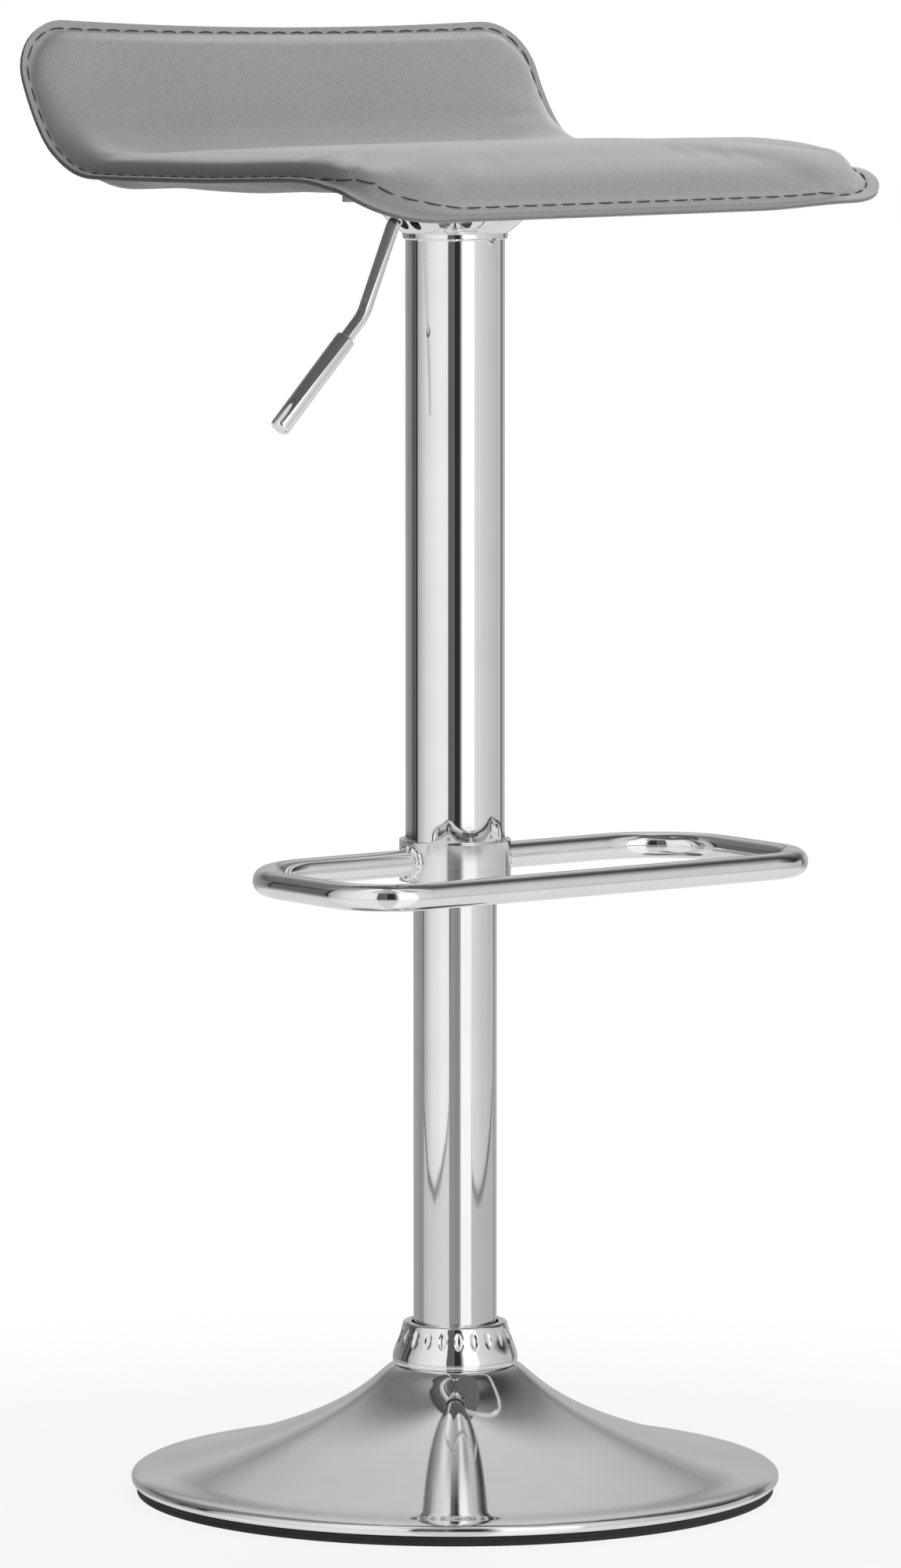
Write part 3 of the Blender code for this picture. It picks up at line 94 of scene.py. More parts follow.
TRIM_GAP = 0.0012                       # round the column
TRIM_MOUTH = [(0.0, -0.0008), (0.0012, 0.0002)]                         # curve, from the mouth
TRIM_BROW = [(-0.0004, 0.0002), (0.0, -0.0022), (0.0012, -0.0105)]      # from the top edge
TRIM_SKIRT = [(-0.0006, 0.0105), (0.0, 0.0042)]                         # from the foot, above its turn
TRIM_FOOT = [(0.0, 0.0042), (0.0001, 0.0022), (-0.0001, 0.0008), (-0.0004, 0.0001)]
TRIM_INSIDE = [(-0.0016, -0.0030)]                                      # from the top edge
TRIM_FACE = 0.3                         # share of the sheet's thickness that the dimples move
TRIM_DIMPLES = 22
TRIM_DIMPLE_DEPTH = 0.0008
TRIM_DIMPLE_WIDTH = 0.0046
TRIM_DIMPLE_HEIGHT = 0.0112
TRIM_DIMPLE_MIDDLE = 0.0172             # above the ring's foot

# Column, sleeve and cup
COLUMN_RADIUS = 0.025
COLUMN_BORE = 0.023
COLUMN_FOOT = 0.024
COLUMN_FOOT_PLATE = 0.004
COLUMN_TOP = 0.4792
COLUMN_SHOULDER = 0.030
COLUMN_SHOULDER_HEIGHT = 0.006
ROD_HOLE = 0.0044
COLUMN_ROUND = 0.0005
SLEEVE_RADIUS = 0.0297
SLEEVE_WALL = 0.0012
SLEEVE_ROUND = 0.0004
SLEEVE_BOTTOM = 0.371
SLEEVE_TOP = 0.758
CUP_TOP = 0.7812
CUP_BOTTOM = 0.7555
CUP_NECK = 0.0025
CUP_TOP_RADIUS = 0.054
CUP_SHEET = 0.0015
CUP_FLARE = [(0.0, 0.0), (0.30, 0.17), (0.70, 0.62), (1.0, 1.0)]        # shares of its breadth and height
CUP_RIM_WIDTH = 0.0024
CUP_PAINTED_SHADE_TILT = -0.15                 # faces that look down more than this show the chrome; the rest, the cup's inside and slot walls, get black paint as painted shade
LEVER_SLOT_WIDTH = 0.0115
SPARE_SLOT_WIDTH = 0.0066
SPARE_SLOT_TURN = math.radians(16.5)
SLOT_FOOT_RADIUS = 0.0355
SLOT_CUT_BEYOND = 0.006
SLOT_CUT_ABOVE = 0.004
# Frame parts inside the cup: they get black paint instead of their own finish, as painted shade seen through
# the slots
PAINTED_SHADE_IN_CUP = ("taper_socket", "lever_bracket", "lever_pivot_pin")
CUP_BEAD_RADIUS = 0.0009
CUP_BEAD_OUT = 0.55                     # shares of the bead's radius
CUP_BEAD_BELOW = 0.45
CUP_BEAD = {"Ripple": 0.00018, "Ripple_Pitch": 0.0047, "Lump": 0.0016, "Lump_Scale": 360.0}
CUP_DRIP = 0.0032                       # a run of weld at the front
CUP_DRIP_TURN = math.radians(278.5)
CUP_DRIP_BREADTH = 0.09
WELD_STEP = 0.0010

# Footrest
COLLAR_RADIUS = 0.0334
COLLAR_BOTTOM = 0.370
COLLAR_HEIGHT = 0.025
COLLAR_BEVEL = 0.0006
FOOTREST_HEIGHT = 0.3825
FOOTREST_TUBE_RADIUS = 0.008
FOOTREST_WIDTH = 0.330
FOOTREST_REACH = 0.144
FOOTREST_REAR_BEND = 0.054
FOOTREST_FRONT_BEND = 0.038
FOOTREST_COPE = 0.002                   # the tube's ends are shaped to the collar over this length
WELD_RADIUS = 0.0024
WELD_OUT = 0.35                         # shares of the weld's radius
WELD_ON = 0.30
FOOTREST_BEAD = {"Ripple": 0.00032, "Ripple_Pitch": 0.0044, "Lump": 0.0026, "Lump_Scale": 170.0}
SET_SCREW_RADIUS = 0.003
SET_SCREW_SOCKET = 0.0017
SET_SCREW_SOCKET_DEPTH = 0.0018
SET_SCREW_PROUD = 0.0001
SET_SCREW_BEVEL = 0.0004
SET_SCREW_END = 0.87                    # share of the radius inside the bevel
SET_SCREW_SIDES = 24

# Lever
LEVER_ROD_RADIUS = 0.004
# Corners of the lever as (along X, height), from the cup's middle to the grip's end
LEVER_LINE = [(0.002, 0.768), (-0.0439, 0.768), (-0.0678, 0.7109), (-0.1294, 0.6458)]
LEVER_CUP_BEND_RADIUS = 0.010
LEVER_ELBOW_RADIUS = 0.025
GRIP_RADIUS = 0.006
GRIP_LENGTH = 0.0715
GRIP_WALL_END = 0.003
GRIP_MOUTH = [(-0.0005, 0.0), (0.0, 0.0003), (0.0, 0.0012)]             # curve, from the mouth's edge
GRIP_TIP = [(0.0, -0.0026), (0.0, -0.0009), (-0.0010, 0.0), (-0.0028, 0.0)]
GRIP_AXIS = 0.00002

# Padded seat: the sewn edge in side view as (back from the axis, height above the underside)
PAD_UNDERSIDE = 0.7848
SEAT_WIDTH = 0.3835
SEAM_LINE = [
    (0.1869, 0.0937),
    (0.1716, 0.0548),
    (0.1444, 0.0216),
    (0.1015, 0.0083),
    (0.0000, 0.0100),
    (-0.1046, 0.0141),
    (-0.1436, 0.0096),
    (-0.1882, -0.0080),
]
BACK_CORNER = 0.035
FRONT_CORNER = 0.0405
BACK_EDGE_DIP = 0.004
BACK_TWIST = 0.0034                     # the back edge stands higher at the lever side, lower at the other
FRONT_CURL = 0.0026                     # the front corner away from the lever turns up a little
CURL_SHARES = (0.55, 1.0)               # across the half width
CURL_STEPS = (5.0, 7.0)                 # steps are counted along the sewn edge's points, from the back
PAD_CROWN = 0.0131
PAD_DOME = 0.0006                       # the middle stands this much higher
PAD_LEAST = 0.5                         # share of the height that is padding everywhere
SIDE_FULLNESS = 2.6
SIDE_ROLL = 0.0175                      # breadth of the padding's rounded flanks
BACK_ROLL = 0.013
BACK_THIN = 0.36                        # the padding thins towards the top of the back
BACK_TAPER = 0.085
FRONT_ROLL = 0.028
CREASE_DIP = 0.0075                     # the padding is thin where the seat turns up into the back
CREASE_STEP = 2.75
CREASE_BREADTH = 0.042
CREASE_FADE = 0.06                      # in from the sides
PAD_BACK_CORNER = 0.036                 # the padding turns its corners wider than the lip
PAD_FRONT_CORNER = 0.061
LIP_WIDTH = 0.005
LIP_LEATHER = 0.0011                    # pressed thin where it is sewn
LIP_DROOP = 0.0009                      # along the sides the lip hangs a little
DROOP_START = (1.6, 2.4)                # steps
DROOP_END = (6.3, 5.6)
LIP_BLEND = 0.006                       # inside the lip, where the faces come together
LIP_SHARE = 0.04                        # the same at the sides, as a share of the half width
BOARD_BOTTOM = 0.0017
BOARD_TOP = 0.0107
BOARD_INSET = 0.028
BOARD_BEVEL = 0.0055
UNDER_FLAT = 0.0655
UNDER_CURVE = 1.4
UNDER_BLEND = 0.06
BACK_BOARD_END = 0.9
FRONT_BOARD_END = 6.1
BACK_LIP_STEP = 0.13
FRONT_LIP_STEP = 6.88
HEEL_REACH = 0.1021
HEEL_RADIUS = 0.089
HEEL_TURN = math.radians(66)
HEEL_DROP = 0.0058
HEEL_FLAT = 0.0632

# Sewing
STITCH_INSET = 0.0046
FRONT_STITCH_INSET = 0.0085             # further in along the front
FRONT_REACH = (-0.085, -0.025)          # where the stitch line moves in, from the front edge
PAD_START = 0.93                        # share of the padding's height before the cover swells
STITCH_PITCH = 0.0136
STITCH_LENGTH = 0.0116
THREAD_RADIUS = 0.00044
STITCH_BOW = 0.0006
STITCH_RISE = 0.0003
STITCH_DIP = 0.00085
STITCH_PROBE = 0.0012                   # the leather's slope is taken over this length
STITCH_PROBE_NEAR = 0.00012
STITCH_SINK = 0.55                      # share of the groove
SEAT_UP = (0.0, -0.3, 1.0)
SEAM_GROOVE = 0.00055
GROOVE_BREADTH = 0.0011
GROOVE_FADE = (0.014, 0.010)            # insets from the edge
PUCKER = 0.00035
PIN_MARGIN = 0.001                      # the sewn edge is held, the padding inside it swells
PIN_FADE = 0.012
SOFT_FADE = 0.02
UNEVEN = 0.00035                        # of the stuffed leather
UNEVEN_SCALE = 21.0
SWELL_LIMIT = 0.0022
SWELL_STEPS = 20
CLOTH = {
    "quality": 5,
    "mass": 0.25,
    "tension_stiffness": 40,
    "compression_stiffness": 40,
    "shear_stiffness": 20,
    "bending_stiffness": 4,
    "use_pressure": True,
    "uniform_pressure_force": 4,
}
RIM_INSETS = [
    0.0, 0.0005, 0.0018, 0.0034, 0.0043, 0.0050, 0.0058, 0.0070, 0.0079,
    0.0088, 0.0098, 0.0115, 0.0150, 0.0195, 0.0250, 0.0325, 0.0410,
]
ACROSS_CELLS = 68
ALONG_CELLS = 88


# Node trees

class Tree:
    """Adds linked nodes to a node tree."""

    def __init__(self, tree):
        self.tree = tree

    def add(self, kind, wires=None, **settings):
        node = self.tree.nodes.new(kind)
        for name, value in settings.items():
            setattr(node, name, value)
        for key, value in (wires or {}).items():
            socket = node.inputs[key]
            if isinstance(value, bpy.types.NodeSocket):
                self.tree.links.new(value, socket)
            else:
                socket.default_value = value
        return node

    def maths(self, operation, first, second=0.0, third=0.0):
        wires = {0: first, 1: second, 2: third}
        return self.add("ShaderNodeMath", wires, operation=operation).outputs[0]

    def plus(self, first, second):
        return self.maths("ADD", first, second)

    def minus(self, first, second):
        return self.maths("SUBTRACT", first, second)

    def times(self, first, second):
        return self.maths("MULTIPLY", first, second)

    def over(self, first, second):
        return self.maths("DIVIDE", first, second)

    def times_plus(self, first, second, third):
        return self.maths("MULTIPLY_ADD", first, second, third)

    def vector(self, x, y, z):
        return self.add("ShaderNodeCombineXYZ", {0: x, 1: y, 2: z}).outputs[0]

    def split(self, vector):
        return self.add("ShaderNodeSeparateXYZ", {0: vector}).outputs

    def eased(self, value, low, high, start=0.0, end=1.0):
        """A smooth change from start to end while the value goes from low to high."""
        wires = {"Value": value, "From Min": low, "From Max": high, "To Min": start, "To Max": end}
        return self.add("ShaderNodeMapRange", wires, interpolation_type="SMOOTHSTEP").outputs[0]

    def ramp(self, factor, stops):
        """Colours along a factor: each stop is a place with a grey level or a colour."""
        node = self.add("ShaderNodeValToRGB", {0: factor})
        elements = node.color_ramp.elements
        while len(elements) < len(stops):
            elements.new(1.0)
        for element, (position, shade) in zip(elements, stops):
            element.position = position
            element.color = (*shade, 1.0) if isinstance(shade, tuple) else (shade, shade, shade, 1.0)
        return node.outputs["Color"]

    def bar(self, line, radius, sides):
        """A round bar along a curve."""
        wires = {"Resolution": sides, "Radius": radius}
        ring = self.add("GeometryNodeCurvePrimitiveCircle", wires).outputs[0]
        wires = {"Curve": line, "Profile Curve": ring, "Fill Caps": True}
        return self.add("GeometryNodeCurveToMesh", wires).outputs[0]

    def stored(self, name, kind):
        return self.add("GeometryNodeInputNamedAttribute", {"Name": name}, data_type=kind).outputs[0]


class Finish(Tree):
    """A material whose shader follows patterns on Object coordinates."""

    def __init__(self, name, **constants):
        self.material = bpy.data.materials.new(name)
        self.material.use_nodes = True
        super().__init__(self.material.node_tree)
        self.shader = self.tree.nodes["Principled BSDF"]
        for key, value in constants.items():
            self.shader.inputs[key.replace("_", " ")].default_value = value

    def pattern(self, kind, scale, stretch=(1, 1, 1), **wires):
        """A texture; stretch packs it closer along an axis."""
        place = self.add("ShaderNodeTexCoord").outputs["Object"]
        moved = self.add("ShaderNodeMapping", {"Vector": place, "Scale": stretch}).outputs[0]
        return self.add(kind, {"Vector": moved, "Scale": scale, **wires})

    def cloud(self, scale, detail, stretch=(1, 1, 1)):
        return self.pattern("ShaderNodeTexNoise", scale, stretch, Detail=detail).outputs[0]

    def vary(self, label, by, *stops):
        """Lets an input of the shader follow a pattern from stop to stop."""
        self.tree.links.new(self.ramp(by, stops), self.shader.inputs[label])

    def relief(self, height, strength, distance):
        wires = {"Height": height, "Strength": strength, "Distance": distance}
        bump = self.add("ShaderNodeBump", wires)
        self.tree.links.new(bump.outputs["Normal"], self.shader.inputs["Normal"])


# Finishes

def plated_chrome(name, shade, haze, wobble):
    """Polished plating: a trace of haze, soft smudges and the slight unevenness of the steel below."""
    look = Finish(name, Metallic=1.0)
    smudge = look.cloud(26.0, 4.0)
    look.vary("Base Color", smudge, (0.3, tuple(c * 0.95 for c in shade)), (0.7, shade))
    look.vary("Roughness", smudge, (0.35, haze), (0.75, haze * 2.0))
    look.relief(look.cloud(70.0, 1.0, (1, 1, 0.25)), wobble, 0.001)
    return look.material


def satin_chrome():
    """Turned collar: faint lathe lines round the axis under a soft plating."""
    look = Finish("satin_chrome_turned", Metallic=1.0, Anisotropic=0.3)
    lines = look.cloud(30.0, 6.0, (0.6, 0.6, 90.0))
    look.vary("Base Color", lines, (0.3, 0.77), (0.7, 0.83))
    look.vary("Roughness", lines, (0.3, 0.10), (0.7, 0.16))
    look.relief(lines, 0.02, 0.0002)
    return look.material


def plated_steel():
    """Zinc-plated steel with a cool, cloudy spangle."""
    look = Finish("zinc_plated_steel", Metallic=1.0)
    spangle = look.pattern("ShaderNodeTexVoronoi", 420.0).outputs["Color"]
    cloud = look.cloud(160.0, 5.0)
    look.vary("Base Color", cloud, (0.3, (0.42, 0.43, 0.44)), (0.72, 0.62))
    look.vary("Roughness", spangle, (0.0, 0.28), (1.0, 0.44))
    look.relief(cloud, 0.12, 0.0002)
    return look.material


def black_paint():
    """Half-matt black paint with a fine orange peel."""
    look = Finish("black_painted_steel")
    dust = look.cloud(55.0, 6.0)
    look.vary("Base Color", dust, (0.35, (0.011, 0.011, 0.012)), (0.8, (0.024, 0.024, 0.025)))
    look.vary("Roughness", dust, (0.3, 0.36), (0.75, 0.52))
    look.relief(look.cloud(1300.0, 2.0), 0.25, 0.0001)
    return look.material


def black_rubber():
    """Moulded rubber, dull, with a fine grain and a little pale dust."""
    look = Finish("black_rubber")
    dust = look.cloud(70.0, 8.0)
    look.vary("Base Color", dust, (0.4, 0.013), (0.85, (0.034, 0.033, 0.032)))
    look.vary("Roughness", dust, (0.3, 0.55), (0.75, 0.78))
    look.relief(look.cloud(1900.0, 3.0), 0.35, 0.0001)
    return look.material


def black_nylon():
    """Moulded nylon with a faint flow mottle."""
    look = Finish("black_nylon")
    flow = look.cloud(240.0, 4.0, (1, 1, 0.3))
    look.vary("Base Color", flow, (0.3, (0.028, 0.028, 0.030)), (0.75, (0.045, 0.045, 0.047)))
    look.vary("Roughness", flow, (0.3, 0.38), (0.75, 0.55))
    look.relief(flow, 0.08, 0.0002)
    return look.material


def grey_leather():
    """Grey leather: a close pebble grain in short slanting creases, with a slight change of tone."""
    look = Finish("grey_leather", Specular_IOR_Level=0.42, Sheen_Weight=0.25, Sheen_Roughness=0.30)
    pebble = look.pattern("ShaderNodeTexVoronoi", 1200.0, (0.62, 1.0, 1.0), Randomness=1.0)
    crease = look.pattern("ShaderNodeTexNoise", 1000.0, (0.5, 1.0, 1.0), Detail=3.0, Roughness=0.6)
    grain = look.times_plus(pebble.outputs["Distance"], 0.55, crease.outputs[0])
    shade = look.times_plus(look.cloud(7.0, 2.0), 0.30, grain)
    look.vary("Base Color", shade, (0.50, (0.240, 0.238, 0.232)), (1.25, (0.326, 0.324, 0.317)))
    look.vary("Roughness", grain, (0.35, 0.40), (0.95, 0.56))
    look.relief(grain, 0.34, 0.0004)
    return look.material


def cut_edge():
    """The cut edge of the leather, rougher than its face."""
    look = Finish("leather_cut_edge")
    fibre = look.cloud(900.0, 5.0, (1, 1, 1.6))
    look.vary("Base Color", fibre, (0.3, (0.22, 0.219, 0.214)), (0.75, (0.34, 0.338, 0.33)))
    look.vary("Roughness", fibre, (0.3, 0.60), (0.75, 0.78))
    look.relief(fibre, 0.4, 0.0003)
    return look.material


def sewing_thread():
    """Twisted thread, painted near black: the dark is partly its own grey and partly painted shade of the
    groove it lies in.
    """
    look = Finish("sewing_thread")
    twist = look.cloud(2600.0, 2.0)
    # Painted shade: the groove's shadow darkens the thread's own grey
    look.vary("Base Color", twist, (0.3, 0.022), (0.75, (0.060, 0.060, 0.059)))
    look.vary("Roughness", twist, (0.3, 0.55), (0.75, 0.75))
    look.relief(twist, 0.5, 0.0001)
    return look.material


def bent_plywood():
    """Rotary-cut plywood: long grain lines over thin veneers."""
    look = Finish("bent_plywood")
    grain = look.cloud(60.0, 6.0, (14.0, 0.8, 9.0))
    look.vary("Base Color", grain, (0.3, (0.36, 0.23, 0.115)), (0.7, (0.60, 0.43, 0.25)))
    look.vary("Roughness", grain, (0.3, 0.55), (0.75, 0.72))
    look.relief(grain, 0.2, 0.0003)
    return look.material


def make_finishes():
    return {
        "chrome": plated_chrome("chrome_plate", (0.86, 0.86, 0.87), 0.012, 0.010),
        "spun_chrome": plated_chrome("chrome_plate_dish", (0.84, 0.84, 0.85), 0.035, 0.006),
        "satin_chrome": satin_chrome(),
        "steel": plated_steel(),
        "black_steel": black_paint(),
        "rubber": black_rubber(),
        "nylon": black_nylon(),
        "leather": grey_leather(),
        "leather_edge": cut_edge(),
        "thread": sewing_thread(),
        "plywood": bent_plywood(),
    }


# Geometry node groups

def open_group(name, counts, sizes):
    """A geometry node tree with a guide mesh, named counts and sizes and a finish as its inputs."""
    tree = bpy.data.node_groups.new(name, "GeometryNodeTree")
    sockets = [("Guide", "Geometry")]
    sockets += [(label, "Int") for label in counts]
    sockets += [(label, "Float") for label in sizes]
    sockets += [("Finish", "Material")]
    for label, kind in sockets:
        tree.interface.new_socket(label, in_out="INPUT", socket_type="NodeSocket" + kind)
    tree.interface.new_socket("Piece", in_out="OUTPUT", socket_type="NodeSocketGeometry")
    return Tree(tree), tree.nodes.new("NodeGroupInput").outputs


def close_group(build, given, geometry):
    smooth = build.add("GeometryNodeSetShadeSmooth", {"Geometry": geometry}).outputs[0]
    real = build.add("GeometryNodeRealizeInstances", {"Geometry": smooth}).outputs[0]
    wires = {"Geometry": real, "Material": given["Finish"]}
    dressed = build.add("GeometryNodeSetMaterial", wires).outputs[0]
    build.tree.links.new(dressed, build.tree.nodes.new("NodeGroupOutput").inputs[0])
    return build.tree


def turned_group():
    """Turns the guide's closed outline about Z, with optional dimples pressed into its outer face."""
    sizes = ["Depth", "Width", "Height", "Middle", "Inside"]
    build, given = open_group("turned_piece", ["Segments", "Dimples"], sizes)
    size = build.add("GeometryNodeAttributeDomainSize", {"Geometry": given["Guide"]})
    outline = size.outputs["Point Count"]
    rows = build.plus(outline, 1.0)
    columns = build.plus(given["Segments"], 1.0)
    wires = {"Size X": 1.0, "Size Y": 1.0, "Vertices X": columns, "Vertices Y": rows}
    grid = build.add("GeometryNodeMeshGrid", wires).outputs["Mesh"]
    index = build.add("GeometryNodeInputIndex").outputs[0]
    column = build.maths("FLOOR", build.over(build.plus(index, 0.5), rows))
    row = build.minus(index, build.times(column, rows))
    point = build.maths("FLOOR", build.maths("FLOORED_MODULO", build.plus(row, 0.25), outline))
    position = build.add("GeometryNodeInputPosition").outputs[0]
    wires = {"Geometry": given["Guide"], "Value": position, "Index": point}
    sampled = build.add("GeometryNodeSampleIndex", wires, data_type="FLOAT_VECTOR").outputs[0]
    flat = build.split(sampled)
    share = build.over(column, given["Segments"])
    angle = build.times(share, math.tau)
    around = build.maths("FRACT", build.times(share, given["Dimples"]))
    pitch = build.over(build.times(flat["X"], math.tau), given["Dimples"])
    across = build.times(build.minus(around, 0.5), pitch)
    wide = build.over(build.times(across, 2.0), given["Width"])
    rise = build.minus(flat["Z"], given["Middle"])
    high = build.over(build.times(rise, 2.0), given["Height"])
    spread = build.plus(build.maths("POWER", wide, 2.0), build.maths("POWER", high, 2.0))
    pressed = build.eased(spread, 1.0, 0.25)
    outside = build.maths("GREATER_THAN", flat["X"], given["Inside"])
    depth = build.times(build.times(pressed, outside), given["Depth"])
    radius = build.minus(flat["X"], depth)
    x = build.times(radius, build.maths("COSINE", angle))
    y = build.times(radius, build.maths("SINE", angle))
    wires = {"Geometry": grid, "Position": build.vector(x, y, flat["Z"])}
    turned = build.add("GeometryNodeSetPosition", wires).outputs[0]
    closed = build.add("GeometryNodeMergeByDistance", {"Geometry": turned, "Distance": 1e-6}).outputs[0]
    return close_group(build, given, closed)


def tube_group():
    """A round bar or tube along the guide line."""
    build, given = open_group("bent_tube", ["Sides"], ["Radius"])
    line = build.add("GeometryNodeMeshToCurve", {"Mesh": given["Guide"]}).outputs[0]
    return close_group(build, given, build.bar(line, given["Radius"], given["Sides"]))


def weld_group():
    """A weld bead along the guide line, heaped up in overlapping ripples with uneven lumps."""
    sizes = ["Radius", "Step", "Ripple", "Ripple Pitch", "Lump", "Lump Scale"]
    build, given = open_group("weld_bead", ["Sides"], sizes)
    line = build.add("GeometryNodeMeshToCurve", {"Mesh": given["Guide"]}).outputs[0]
    wires = {"Curve": line, "Length": given["Step"]}
    fine = build.add("GeometryNodeResampleCurve", wires, mode="LENGTH")
    length = build.add("GeometryNodeSplineParameter").outputs["Length"]
    turns = build.over(build.times(length, math.tau), given["Ripple Pitch"])
    wires = {"Geometry": fine.outputs[0], "Name": "ripple", "Value": build.maths("SINE", turns)}
    marked = build.add("GeometryNodeStoreNamedAttribute", wires, data_type="FLOAT", domain="POINT").outputs[0]
    bead = build.bar(marked, given["Radius"], given["Sides"])
    lumps = build.add("ShaderNodeTexNoise", {"Scale": given["Lump Scale"], "Detail": 2.0}).outputs[0]
    uneven = build.times(build.minus(lumps, 0.5), given["Lump"])
    heap = build.times_plus(build.stored("ripple", "FLOAT"), given["Ripple"], uneven)
    normal = build.add("GeometryNodeInputNormal").outputs[0]
    offset = build.add("ShaderNodeVectorMath", {0: normal, "Scale": heap}, operation="SCALE").outputs[0]
    heaped = build.add("GeometryNodeSetPosition", {"Geometry": bead, "Offset": offset}).outputs[0]
    return close_group(build, given, heaped)


def stitch_group():
    """Arched stitches at the guide's points, laid along their 'along' and standing on their 'up'."""
    build, given = open_group("stitch_row", [], ["Length", "Thread Radius", "Rise", "Dip", "Bow"])
    half = build.times(given["Length"], 0.5)
    dip = build.times(given["Dip"], -1.0)
    top = build.plus(build.times(given["Rise"], 2.0), given["Dip"])
    start = build.vector(build.times(half, -1.0), 0.0, dip)
    middle = build.vector(0.0, build.times(given["Bow"], 2.0), top)
    wires = {"Resolution": 8, "Start": start, "Middle": middle, "End": build.vector(half, 0.0, dip)}
    arch = build.add("GeometryNodeCurveQuadraticBezier", wires).outputs[0]
    stitch = build.bar(arch, given["Thread Radius"], 6)
    wires = {0: build.stored("up", "FLOAT_VECTOR"), 1: build.stored("along", "FLOAT_VECTOR")}
    axes = build.add("FunctionNodeAxesToRotation", wires, primary_axis="Z", secondary_axis="X").outputs[0]
    wires = {"Points": given["Guide"], "Instance": stitch, "Rotation": axes}
    sewn = build.add("GeometryNodeInstanceOnPoints", wires).outputs[0]
    return close_group(build, given, sewn)


def keep_result(obj, modifier):
    """Leaves a modifier's result on its object as a plain mesh."""
    graph = bpy.context.evaluated_depsgraph_get()
    mesh = bpy.data.meshes.new_from_object(obj.evaluated_get(graph), depsgraph=graph)
    obj.modifiers.remove(modifier)
    obj.data = mesh


def run_group(obj, tree, finish, **sizes):
    """Runs a node group on a guide object."""
    modifier = obj.modifiers.new("make", "NODES")
    modifier.node_group = tree
    values = {key.replace("_", " "): value for key, value in sizes.items()}
    values["Finish"] = finish
    for item in tree.interface.items_tree:
        if item.item_type == "SOCKET" and item.in_out == "INPUT" and item.name in values:
            modifier[item.identifier] = values[item.name]
    keep_result(obj, modifier)


# Shared helpers

def add_object(name, points, edges=(), faces=()):
    mesh = bpy.data.meshes.new(name)
    mesh.from_pydata([tuple(p) for p in points], list(edges), list(faces))
    obj = bpy.data.objects.new(name, mesh)
    bpy.context.scene.collection.objects.link(obj)
    return obj


def guide_line(name, points, closed=False):
    count = len(points)
    edges = [(i, i + 1) for i in range(count - 1)]
    if closed:
        edges.append((count - 1, 0))
    return add_object(name, points, edges)


def close_up(obj, smooth_angle=SHARP_ANGLE):
    """Merges doubles, turns every face outwards and keeps the sharp edges sharp."""
    mesh = obj.data
    shape = bmesh.new()
    shape.from_mesh(mesh)
    bmesh.ops.remove_doubles(shape, verts=shape.verts, dist=1e-7)
    bmesh.ops.recalc_face_normals(shape, faces=shape.faces)
    if shape.calc_volume(signed=True) < 0:
        bmesh.ops.reverse_faces(shape, faces=shape.faces)
    shape.to_mesh(mesh)
    shape.free()
    mesh.shade_smooth()
    mesh.set_sharp_from_angle(angle=smooth_angle)
    return obj


def seat_in(obj, body, slot, *replaced):
    """Puts a finished piece on its body and hides the frame parts it stands in for."""
    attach(obj, body)
    if replaced:
        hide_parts(*replaced)
    return obj


def angles(count):
    """Even angles once round."""
    return [math.tau * k / count for k in range(count)]


def run_lengths(points):
    """Length along a line of points at each of them."""
    lengths = [0.0]
    for a, b in zip(points, points[1:]):
        lengths.append(lengths[-1] + (b - a).length)
    return lengths


def even_steps(line, count, first=0.0):
    """Points at even steps along a line, each with the way the line runs there."""
    lengths = run_lengths(line)
    steps = []
    index = 0
    for k in range(count):
        target = lengths[-1] * (k + first) / count
        while index < len(line) - 2 and lengths[index + 1] <= target:
            index += 1
        span = max(lengths[index + 1] - lengths[index], 1e-9)
        here = line[index].lerp(line[index + 1], (target - lengths[index]) / span)
        steps.append((here, (line[index + 1] - line[index]).normalized()))
    return steps


def stacked_faces(count, rings):
    """Faces round a stack of rings of points, closed at both ends."""
    last = count * (rings - 1)
    faces = [tuple(range(count)), tuple(range(last + count - 1, last - 1, -1))]
    for start in range(0, last, count):
        for k in range(count):
            n = (k + 1) % count
            faces.append((start + k, start + n, start + count + n, start + count + k))
    return faces


def near(x, y, offsets):
    """Points of an outline at offsets from one of its corners."""
    return [Vector((x + out, y + up)) for out, up in offsets]


def bezier(points, count):
    a, b, c, d = [Vector(p) for p in points]
    curve = []
    for i in range(count):
        t = i / (count - 1)
        u = 1 - t
        curve.append(a * u ** 3 + 3 * b * t * u * u + 3 * c * t * t * u + d * t ** 3)
    return curve


def rounded(corners, radius, steps=3):
    """A closed outline whose corners are rounded by short arcs, each held by a point on either side of it."""
    outline = []
    count = len(corners)
    for i in range(count):
        here = Vector(corners[i])
        before = Vector(corners[i - 1])
        after = Vector(corners[(i + 1) % count])
        reach = min(radius, (before - here).length * 0.3, (after - here).length * 0.3)
        back = (before - here).normalized() * reach
        ahead = (after - here).normalized() * reach
        outline.append(here + back * 1.5)
        for k in range(steps + 1):
            t = k / steps
            outline.append(here + back * (1 - t) ** 2 + ahead * t * t)
        outline.append(here + ahead * 1.5)
    return outline


def filleted(corners, radii, steps):
    """A path through corners, with true arcs at the inner ones."""
    path = [Vector(corners[0])]
    for before, here, after, radius in zip(corners, corners[1:], corners[2:], radii):
        before, here, after = Vector(before), Vector(here), Vector(after)
        back = (before - here).normalized()
        ahead = (after - here).normalized()
        half = back.angle(ahead) / 2
        reach = radius / math.tan(half)
        centre = here + (back + ahead).normalized() * (radius / math.sin(half))
        start = here + back * reach - centre
        end = here + ahead * reach - centre
        for k in range(steps + 1):
            turned = start.normalized().slerp(end.normalized(), k / steps)
            path.append(centre + turned * radius)
    path.append(Vector(corners[-1]))
    return path


def between(value, low, high):
    """A smooth change from 0 at one value to 1 at the other."""
    t = min(max((value - low) / (high - low), 0.0), 1.0)
    return t * t * (3 - 2 * t)


